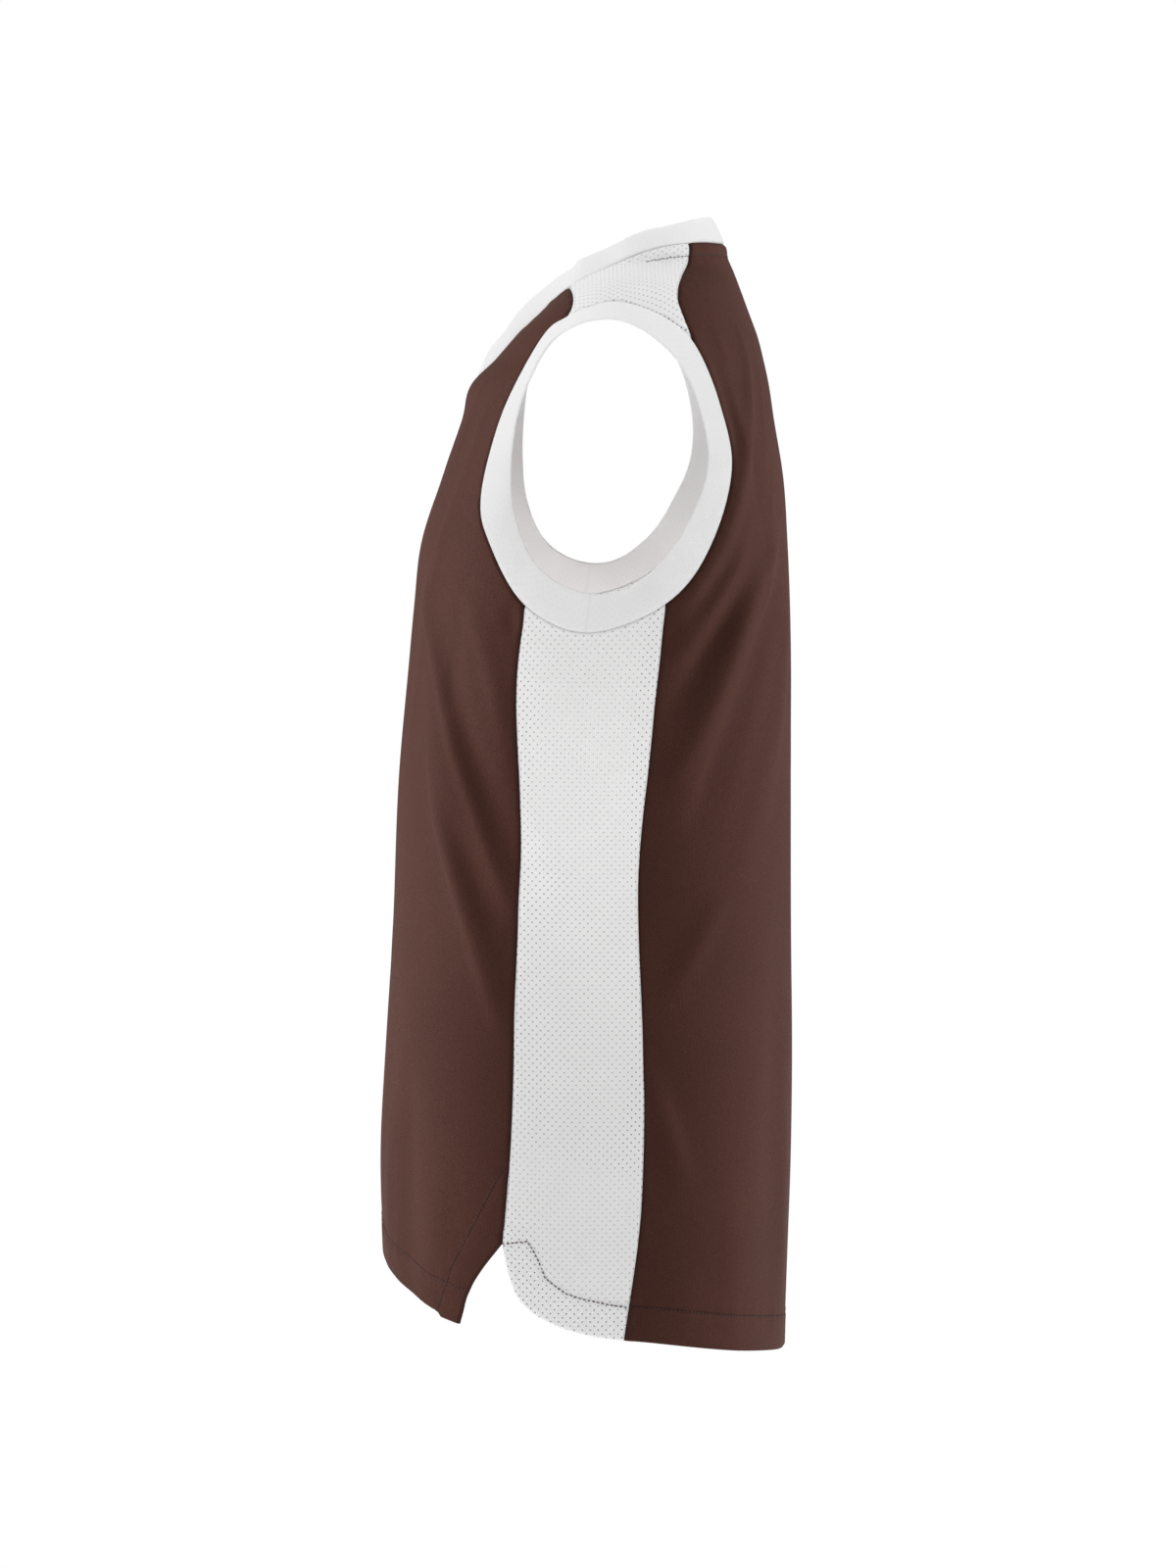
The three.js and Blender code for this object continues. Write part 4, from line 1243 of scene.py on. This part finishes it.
def sew(bm, places, face, right, thread):
    """Adds a row of stitches along a line of places to a bmesh."""
    line = dense(mirrored(places) if right else places) * MM
    distance = LINE_STEP * np.arange(len(line))
    at = np.arange(STITCH_PITCH / 2, distance[-1], STITCH_PITCH)
    centres = np.stack([np.interp(at, distance, line[:, k]) for k in range(3)], axis=-1)
    ahead = np.stack([np.interp(at + AHEAD, distance, line[:, k]) for k in range(3)], axis=-1)
    for centre, next_point in zip(centres, ahead):
        on_cloth, normal, _, _ = face.find_nearest(centre)
        along = Vector(next_point - centre)
        along = (along - normal * along.dot(normal)).normalized()
        across = normal.cross(along)
        turned = Matrix((along, across, normal)).transposed().to_4x4()
        size = Matrix.Diagonal((STITCH_LENGTH / 2, thread / 2, thread / 2, 1)) * MM
        size[3][3] = 1
        lying = turned @ size @ Matrix.Rotation(math.pi / 2, 4, "Y")
        place = Matrix.Translation(on_cloth + normal * THREAD_RISE * thread * MM)
        bmesh.ops.create_uvsphere(bm, u_segments=6, v_segments=4, radius=1, matrix=place @ lying)
    return len(centres)


def stitch_piece(name, rows, thread):
    """One mesh of several rows of stitches: (places, face, right) each."""
    bm = bmesh.new()
    count = sum(sew(bm, places, face, right, thread) for places, face, right in rows)
    piece = new_piece(name, bm)
    print(name, count, "stitches")
    return piece


def both_halves(piece, *lines):
    """Rows of stitches along lines of places, on the left and then the right half of a piece."""
    face = outer_face(piece)
    return [(places, face, right) for places in lines for right in (False, True)]


def stitch_pair(name, left, right, places, thread):
    """One mesh of stitches for each of two mirrored pieces."""
    return [
        stitch_piece(name + "_left", [(places, outer_face(left), False)], thread),
        stitch_piece(name + "_right", [(places, outer_face(right), True)], thread),
    ]


front_rows = both_halves(front_panel, front_stitch_places, vent_stitch_places)
back_rows = both_halves(back_panel, back_stitch_places, back_neck_places)
front_stitches = stitch_piece("jersey_front_stitches", front_rows, THREAD)
back_stitches = stitch_piece("jersey_back_stitches", back_rows, THREAD)
yoke_stitches = stitch_pair("jersey_yoke_stitches", yoke_left, yoke_right, yoke_neck_places, THREAD)
side_stitches = stitch_pair(
    "jersey_side_stitches", side_left, side_right, side_stitch_places, SIDE_THREAD
)

# %% [markdown]
# ## Shader helpers
#
# Each cloth is a Principled shader fed by small patterns. The patterns that more than one cloth
# uses are node groups: pinholes, knit loops and the slow unevenness of any woven or knit colour.
# They read the flat cloth's UVs, in metres, so a hole keeps its size wherever the cloth bends. The
# helper below places a node and joins its inputs, so that each pattern reads as a short formula.


# %% Shader helpers
def add_node(tree, kind, inputs=(), **settings):
    """Adds a node, sets its properties, and joins or sets its inputs by index or name."""
    node = tree.nodes.new(kind)
    for name, value in settings.items():
        setattr(node, name, value)
    for key, value in dict(inputs).items():
        if isinstance(value, bpy.types.NodeSocket):
            tree.links.new(value, node.inputs[key])
        else:
            node.inputs[key].default_value = value
    return node


def maths(tree, operation, *values):
    return add_node(tree, "ShaderNodeMath", enumerate(values), operation=operation).outputs[0]


def vector_maths(tree, operation, *values):
    node = add_node(tree, "ShaderNodeVectorMath", enumerate(values), operation=operation)
    return node.outputs["Value"] if operation in ("LENGTH", "DOT_PRODUCT") else node.outputs["Vector"]


def smooth_range(tree, *parts):
    """Turns a value from low to high into 0 to 1, or into the range that two more numbers give."""
    node = add_node(tree, "ShaderNodeMapRange", enumerate(parts), interpolation_type="SMOOTHSTEP")
    return node.outputs[0]


def mixed(tree, share, first, second):
    return add_node(tree, "ShaderNodeMix", {0: share, 6: first, 7: second}, data_type="RGBA").outputs[2]


def bumped(tree, height, strength, distance, normal=None):
    node = add_node(tree, "ShaderNodeBump", {"Height": height, "Strength": strength, "Distance": distance})
    if normal is not None:
        tree.links.new(normal, node.inputs["Normal"])
    return node.outputs[0]


def set_inputs(shader, **values):
    """Sets a shader's inputs, whose names have spaces where the keywords have underscores."""
    for name, value in values.items():
        shader.inputs[name.replace("_", " ")].default_value = value


def group_node(tree, group, inputs):
    return add_node(tree, "ShaderNodeGroup", inputs, node_tree=group).outputs


def new_group(name, inputs, outputs):
    """A node group with named inputs, as (name, socket type, default), and float outputs."""
    tree = bpy.data.node_groups.new(name, "ShaderNodeTree")
    for label, kind, default in inputs:
        socket = tree.interface.new_socket(label, in_out="INPUT", socket_type=kind)
        if default is not None:
            socket.default_value = default
    for label in outputs:
        tree.interface.new_socket(label, in_out="OUTPUT", socket_type="NodeSocketFloat")
    start = tree.nodes.new("NodeGroupInput")
    end = tree.nodes.new("NodeGroupOutput")
    return tree, start.outputs, end.inputs


# %% [markdown]
# ## Pinholes
#
# Sports mesh is knit with small round holes in a staggered grid. Two square lattices, the second
# moved by half a cell both ways, give the stagger. The distance to the nearer lattice point,
# compared with the hole's radius, is the hole. Real holes could be cut in the mesh, but there are
# thousands of them, each under a millimetre wide, so they are a mask that paints the colour darker,
# as painted shade of the jersey's inside, dents the surface and lets light through.


# %% Pinhole group
HOLE_ACROSS = 0.0046
HOLE_UP = 0.0048
HOLE_RADIUS = 0.0004


def make_pinhole_group():
    tree, given, made = new_group("pinholes", [
        ("Vector", "NodeSocketVector", None),
        ("Across", "NodeSocketFloat", HOLE_ACROSS),
        ("Up", "NodeSocketFloat", HOLE_UP),
        ("Radius", "NodeSocketFloat", HOLE_RADIUS),
    ], ["Hole", "Rim"])
    cell = add_node(tree, "ShaderNodeCombineXYZ", {0: given["Across"], 1: given["Up"], 2: 1.0}).outputs[0]
    counted = vector_maths(tree, "DIVIDE", given["Vector"], cell)
    distances = []
    for shift in ((0.0, 0.0, 0.0), (0.5, 0.5, 0.0)):
        moved = vector_maths(tree, "ADD", counted, shift)
        inside = vector_maths(tree, "SUBTRACT", vector_maths(tree, "FRACTION", moved), (0.5, 0.5, 0.0))
        distances.append(vector_maths(tree, "LENGTH", vector_maths(tree, "MULTIPLY", inside, cell)))
    distance = maths(tree, "MINIMUM", *distances)
    soft = maths(tree, "MULTIPLY", given["Radius"], 1.35)
    hard = maths(tree, "MULTIPLY", given["Radius"], 0.7)
    tree.links.new(smooth_range(tree, distance, hard, soft, 1.0, 0.0), made["Hole"])
    wide = maths(tree, "MULTIPLY", given["Radius"], 2.2)
    tree.links.new(smooth_range(tree, distance, soft, wide, 1.0, 0.0), made["Rim"])
    return tree


pinhole_group = make_pinhole_group()
print("Pinholes:", HOLE_ACROSS / MM, "mm apart across and", HOLE_UP / MM, "mm up, in two lattices")

# %% [markdown]
# ## Knit
#
# From close by, jersey knit is columns of small V-shaped loops. A sine across the columns and a
# sine up them, pushed up and down by the column, draw those Vs. They are finer than a millimetre,
# so they go to the bump only.


# %% Knit group
def make_knit_group():
    tree, given, made = new_group("knit", [
        ("Vector", "NodeSocketVector", None),
        ("Wale", "NodeSocketFloat", 0.0009),
        ("Course", "NodeSocketFloat", 0.0008),
    ], ["Height"])
    parts = add_node(tree, "ShaderNodeSeparateXYZ", {0: given["Vector"]}).outputs
    column = maths(tree, "DIVIDE", parts[0], given["Wale"])
    row = maths(tree, "DIVIDE", parts[1], given["Course"])
    rib = maths(tree, "ABSOLUTE", maths(tree, "SINE", maths(tree, "MULTIPLY", column, math.pi)))
    lean = maths(tree, "MULTIPLY", rib, 0.5)
    loop = maths(tree, "SINE", maths(tree, "MULTIPLY", maths(tree, "ADD", row, lean), 2 * math.pi))
    height = maths(tree, "MULTIPLY_ADD", loop, 0.3, maths(tree, "MULTIPLY", rib, 0.7))
    tree.links.new(height, made["Height"])
    return tree


knit_group = make_knit_group()

# %% [markdown]
# ## Unevenness
#
# No dyed cloth is one colour. A slow noise varies its depth over a hand's breadth, and a fine one
# gives single fibres and yarns. Both read Object coordinates, so they run on across the seams.


# %% Unevenness group
def make_unevenness_group():
    inputs = [("Vector", "NodeSocketVector", None)]
    tree, given, made = new_group("unevenness", inputs, ["Slow", "Yarn", "Fine"])
    drawn = vector_maths(tree, "MULTIPLY", given["Vector"], (1.0, 1.0, 0.22))
    noises = [
        # output, place, scale, detail
        ("Slow", given["Vector"], 9.0, 3.0),
        ("Yarn", drawn, 700.0, 2.0),
        ("Fine", given["Vector"], 1500.0, 2.0),
    ]
    for label, place, scale, detail in noises:
        noise = add_node(tree, "ShaderNodeTexNoise", {"Vector": place, "Scale": scale, "Detail": detail})
        tree.links.new(noise.outputs["Fac"], made[label])
    return tree


unevenness_group = make_unevenness_group()


def new_cloth_material(name):
    """A material with its shader, the flat cloth's UVs, Object coordinates and nearness to seams."""
    material = bpy.data.materials.new(name)
    material.use_nodes = True
    tree = material.node_tree
    shader = tree.nodes["Principled BSDF"]
    flat = add_node(tree, "ShaderNodeUVMap", uv_map="flat cloth").outputs[0]
    place = tree.nodes.new("ShaderNodeTexCoord").outputs["Object"]
    # Nearness to seams and stitching, which darkens the colour as painted shade
    seam = add_node(tree, "ShaderNodeAttribute", attribute_name="seam").outputs["Fac"]
    return material, tree, shader, flat, place, seam


# %% [markdown]
# ## Brown knit
#
# A dark red-brown polyester knit, dull, with a faint nap that catches light where the cloth turns
# away. The nap is the shader's sheen, set on its own sockets. The colour is painted darker in the
# seams and along the stitching, as painted shade where the cloth folds into itself.

# %% Brown knit
BROWN = (0.081, 0.0328, 0.0248, 1.0)
BROWN_DEEP = (0.070, 0.0281, 0.0212, 1.0)
# Painted shade: the colour that seams and stitching are darkened towards
BROWN_SEAM_SHADE = (0.018, 0.007, 0.006, 1.0)
BROWN_SPECK = (0.040, 0.0155, 0.0118, 1.0)


def make_brown_knit():
    material, tree, shader, flat, place, seam = new_cloth_material("brown knit")
    uneven = group_node(tree, unevenness_group, {"Vector": place})
    colour = mixed(tree, smooth_range(tree, uneven["Slow"], 0.35, 0.65), BROWN_DEEP, BROWN)
    yarn = mixed(tree, smooth_range(tree, uneven["Yarn"], 0.3, 0.7, 0.0, 0.35), colour, BROWN_DEEP)
    speckled = mixed(tree, smooth_range(tree, uneven["Fine"], 0.35, 0.65, 0.0, 0.55), yarn, BROWN_SPECK)
    # Painted shade: darker near seams and stitching, where the cloth folds in
    colour = mixed(tree, smooth_range(tree, seam, 0.2, 1.0, 0.0, 0.5), speckled, BROWN_SEAM_SHADE)
    tree.links.new(colour, shader.inputs["Base Color"])
    tree.links.new(smooth_range(tree, uneven["Fine"], 0.2, 0.8, 0.52, 0.68), shader.inputs["Roughness"])
    set_inputs(shader, Specular_IOR_Level=0.03)
    set_inputs(shader, Sheen_Weight=0.01, Sheen_Roughness=0.4, Sheen_Tint=(0.95, 0.72, 0.66, 1.0))
    knit = group_node(tree, knit_group, {"Vector": flat, "Wale": 0.0009, "Course": 0.0008})["Height"]
    normal = bumped(tree, knit, 0.35, 0.0002)
    tree.links.new(bumped(tree, uneven["Fine"], 0.25, 0.0003, normal), shader.inputs["Normal"])
    return material


brown_knit = make_brown_knit()

# %% [markdown]
# ## White mesh
#
# The side panels and yokes are one layer of pinhole mesh, so light and the shade inside the jersey
# show through the holes, which are also painted dark as painted shade. The bands are the same mesh
# folded double: there the holes of one layer lie over cloth of the other, and show only as faint
# dots of painted grey shade. Near seams the white is painted grey too, as painted shade.

# %% White mesh
WHITE = (0.88, 0.88, 0.88, 1.0)
WHITE_SHADE = (0.85, 0.85, 0.852, 1.0)
# Painted shade: the grey that seams, and the band's holes, are painted towards
WHITE_PAINTED_SHADE = (0.78, 0.78, 0.785, 1.0)
# Painted shade: the dark inside of the jersey, seen in the holes
HOLE_SHADE = (0.20, 0.20, 0.21, 1.0)


def make_white_mesh(name, hole_shade_colour, hole_shade_share, see_through):
    material, tree, shader, flat, place, seam = new_cloth_material(name)
    uneven = group_node(tree, unevenness_group, {"Vector": place})
    holes = group_node(tree, pinhole_group, {"Vector": flat})
    colour = mixed(tree, smooth_range(tree, uneven["Slow"], 0.35, 0.65), WHITE_SHADE, WHITE)
    # Painted shade: greyer near seams and stitching
    colour = mixed(tree, smooth_range(tree, seam, 0.3, 1.0, 0.0, 0.8), colour, WHITE_PAINTED_SHADE)
    # Painted shade in the holes; in the single mesh the alpha below also lets real light through
    hole = maths(tree, "MULTIPLY", holes["Hole"], hole_shade_share)
    tree.links.new(mixed(tree, hole, colour, hole_shade_colour), shader.inputs["Base Color"])
    tree.links.new(smooth_range(tree, uneven["Fine"], 0.2, 0.8, 0.75, 0.92), shader.inputs["Roughness"])
    set_inputs(shader, Specular_IOR_Level=0.2)
    set_inputs(shader, Subsurface_Weight=1.0, Subsurface_Radius=(1.0, 1.0, 1.0), Subsurface_Scale=0.002)
    if see_through > 0:
        gap = maths(tree, "MULTIPLY", smooth_range(tree, holes["Hole"], 0.5, 1.0), see_through)
        tree.links.new(maths(tree, "SUBTRACT", 1.0, gap), shader.inputs["Alpha"])
    knit = group_node(tree, knit_group, {"Vector": flat, "Wale": 0.00115, "Course": 0.0012})["Height"]
    dented = maths(tree, "SUBTRACT", maths(tree, "MULTIPLY", knit, 0.25), holes["Hole"])
    normal = bumped(tree, maths(tree, "MULTIPLY_ADD", holes["Rim"], 0.15, dented), 0.4, 0.0004)
    tree.links.new(normal, shader.inputs["Normal"])
    return material


white_mesh = make_white_mesh("white mesh", HOLE_SHADE, hole_shade_share=0.95, see_through=0.85)
# Painted shade: the band's holes are grey dots and let no light through
white_band = make_white_mesh("white band", WHITE_PAINTED_SHADE, hole_shade_share=0.5, see_through=0.0)

# %% [markdown]
# ## Thread
#
# Polyester thread is smoother than the cloth, with a twist that shows as slanting stripes. It is
# darker on the brown cloth than on the white.


# %% Thread
THREAD_ON_BROWN = (0.03, 0.013, 0.011, 1.0)
TWIST_ON_BROWN = (0.016, 0.007, 0.006, 1.0)
THREAD_ON_WHITE = (0.10, 0.05, 0.045, 1.0)
TWIST_ON_WHITE = (0.06, 0.03, 0.026, 1.0)


def make_thread(name, colour, dark):
    material = bpy.data.materials.new(name)
    material.use_nodes = True
    tree = material.node_tree
    shader = tree.nodes["Principled BSDF"]
    place = tree.nodes.new("ShaderNodeTexCoord").outputs["Object"]
    twist = add_node(tree, "ShaderNodeTexWave", {"Vector": place, "Scale": 900.0, "Distortion": 2.0})
    tree.links.new(mixed(tree, twist.outputs["Fac"], dark, colour), shader.inputs["Base Color"])
    set_inputs(shader, Roughness=0.55)
    tree.links.new(bumped(tree, twist.outputs["Fac"], 0.4, 0.0001), shader.inputs["Normal"])
    return material


dark_thread = make_thread("dark brown thread", THREAD_ON_BROWN, TWIST_ON_BROWN)
brown_thread = make_thread("brown thread", THREAD_ON_WHITE, TWIST_ON_WHITE)

# %% [markdown]
# ## Riding, replacing and the flat cut
#
# Every piece takes its cloth, rides on the root body and hides the CAD piece it stands for. The
# table also lists the size each was cut to. The flat sizes are estimates of the finished piece laid
# flat, without seam allowance or turn-up, as width and length in metres, and the area inside them.
# The front and back are stated wider than the worn cloth made here measures.

# %% Riding and flat sizes
CLOTHS = {"brown_knit": brown_knit, "white_mesh": white_mesh, "white_band": white_band}
PIECES = [
    # piece, CAD node, slot, flat size, flat area, its stitches
    (front_panel, "front_panel", "brown_knit", (0.50, 0.64), 0.255, [front_stitches]),
    (back_panel, "back_panel", "brown_knit", (0.52, 0.74), 0.31, [back_stitches]),
    (side_left, "side_panel_left", "white_mesh", (0.09, 0.43), 0.033, side_stitches[:1]),
    (side_right, "side_panel_right", "white_mesh", (0.09, 0.43), 0.033, side_stitches[1:]),
    (yoke_left, "shoulder_yoke_left", "white_mesh", (0.10, 0.09), 0.006, yoke_stitches[:1]),
    (yoke_right, "shoulder_yoke_right", "white_mesh", (0.10, 0.09), 0.006, yoke_stitches[1:]),
    (band_left, "armhole_band_left", "white_band", (0.50, 0.024), 0.011, []),
    (band_right, "armhole_band_right", "white_band", (0.50, 0.024), 0.011, []),
    (neckband, "neckband", "white_band", (0.48, 0.019), 0.0085, []),
]
for piece, node, slot, flat, area, stitches in PIECES:
    piece.data.materials.append(CLOTHS[slot])
    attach(piece, "root")
    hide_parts(node)
    for row in stitches:
        row.data.materials.append(brown_thread if slot == "white_mesh" else dark_thread)
        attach(row, "root")
print(len(PIECES), "pieces of cloth ride on the root body")

# %% [markdown]
# ## The studio
#
# A product photograph on white: soft light from all round, a large softbox before and one behind
# the jersey, and less light from the camera's side, so that the brown cloth is darkest where it
# faces the camera. The photograph shows the white cloth more evenly lit than the brown, so each
# softbox lights only one of the two. One set for both would be simpler, but it burns out the white
# before the brown is bright enough. The world is pure white to the camera and dimmer as a light.
# The floor is pale and plain, far below, as the jersey hangs at the height of a standing wearer's
# shoulders.

# %% Studio
INSIDE_PLACE = (0, 0.01, -0.3)
INSIDE_POWER = 1.0
INSIDE_RADIUS = 0.05
FLOOR_Z = -1.4
FLOOR_RADIUS = 5
FLOOR_GLOW = 0.68
SKY_LIGHT = 0.38
LIT_PLACE = (0, 0, -0.3)


def cloth_collection(name, slots):
    """A collection of the pieces of some slots, for the lights that light only them."""
    collection = bpy.data.collections.new(name)
    for piece, _, slot, _, _, stitches in PIECES:
        if slot in slots:
            for member in [piece] + stitches:
                collection.objects.link(member)
    return collection


brown_cloth = cloth_collection("brown cloth", ["brown_knit"])
white_cloth = cloth_collection("white cloth", ["white_mesh", "white_band"])


def softbox(name, place, size, power, lit):
    """A square area light that faces the middle of the jersey and lights one collection."""
    data = bpy.data.lights.new(name, "AREA")
    data.shape = "RECTANGLE"
    data.size, data.size_y = size
    data.energy = power
    light = bpy.data.objects.new(name, data)
    light.location = place
    light.rotation_euler = (Vector(LIT_PLACE) - light.location).to_track_quat("-Z", "Y").to_euler()
    bpy.context.scene.collection.objects.link(light)
    light.light_linking.receiver_collection = lit


SOFTBOXES = [
    # name, place, size, power, what it lights
    ("front softbox", (-0.1, -2.0, 0.1), (1.4, 2.0), 56, brown_cloth),
    ("back softbox", (-0.1, 2.0, 0.1), (1.4, 2.0), 44, brown_cloth),
    ("top softbox", (0.3, 0, 2.0), (1.6, 1.6), 7, brown_cloth),
    ("front fill", (-0.1, -2.0, 0.1), (1.4, 2.0), 16, white_cloth),
    ("back fill", (-0.1, 2.0, 0.1), (1.4, 2.0), 12, white_cloth),
    ("camera fill", (2.2, 0, 0.3), (2.0, 2.0), 6, white_cloth),
    ("top fill", (0.4, 0, 2.0), (1.6, 1.6), 19, white_cloth),
]
for row in SOFTBOXES:
    softbox(*row)

inside = bpy.data.lights.new("inside fill", "POINT")
inside.energy = INSIDE_POWER
inside.shadow_soft_size = INSIDE_RADIUS
inside_light = bpy.data.objects.new("inside fill", inside)
inside_light.location = INSIDE_PLACE
bpy.context.scene.collection.objects.link(inside_light)

world = bpy.data.worlds.new("studio white")
world.use_nodes = True
sky = world.node_tree
backdrop = sky.nodes["Background"]
backdrop.inputs["Color"].default_value = (1, 1, 1, 1)
backdrop.inputs["Strength"].default_value = 1.0
glow = add_node(sky, "ShaderNodeBackground", {"Color": (1, 1, 1, 1), "Strength": SKY_LIGHT})
seen = sky.nodes.new("ShaderNodeLightPath").outputs["Is Camera Ray"]
both = add_node(sky, "ShaderNodeMixShader", {0: seen, 1: glow.outputs[0], 2: backdrop.outputs[0]})
sky.links.new(both.outputs[0], sky.nodes["World Output"].inputs["Surface"])
bpy.context.scene.world = world
bpy.context.scene.view_settings.view_transform = "Standard"

floor_shape = bmesh.new()
bmesh.ops.create_circle(floor_shape, cap_ends=True, segments=64, radius=FLOOR_RADIUS)
bmesh.ops.translate(floor_shape, verts=floor_shape.verts, vec=(0, 0, FLOOR_Z))
floor = new_piece("studio_floor", floor_shape)
floor_paint = bpy.data.materials.new("pale floor")
floor_paint.use_nodes = True
floor_shader = floor_paint.node_tree.nodes["Principled BSDF"]
set_inputs(floor_shader, Base_Color=(0.86, 0.86, 0.86, 1), Roughness=0.9)
set_inputs(floor_shader, Emission_Color=(1, 1, 1, 1), Emission_Strength=FLOOR_GLOW)
floor.data.materials.append(floor_paint)

# %% [markdown]
# ## The camera
#
# The photograph looks at the wearer's left side from just above chest height, from about 1.6 m
# with a moderately long lens. The frame is upright, so the lens is fitted to its height.

# %% Camera
CAMERA_PLACE = (1.63806, 0, -0.08979)
LOOKED_AT = (0, 0, -0.314)

camera_data = bpy.data.cameras.new("camera")
camera_data.sensor_fit = "VERTICAL"
camera_data.sensor_height = 36
camera_data.lens = 60
camera = bpy.data.objects.new("camera", camera_data)
camera.location = CAMERA_PLACE
camera.rotation_euler = (Vector(LOOKED_AT) - camera.location).to_track_quat("-Z", "Y").to_euler()
bpy.context.scene.collection.objects.link(camera)
bpy.context.scene.camera = camera
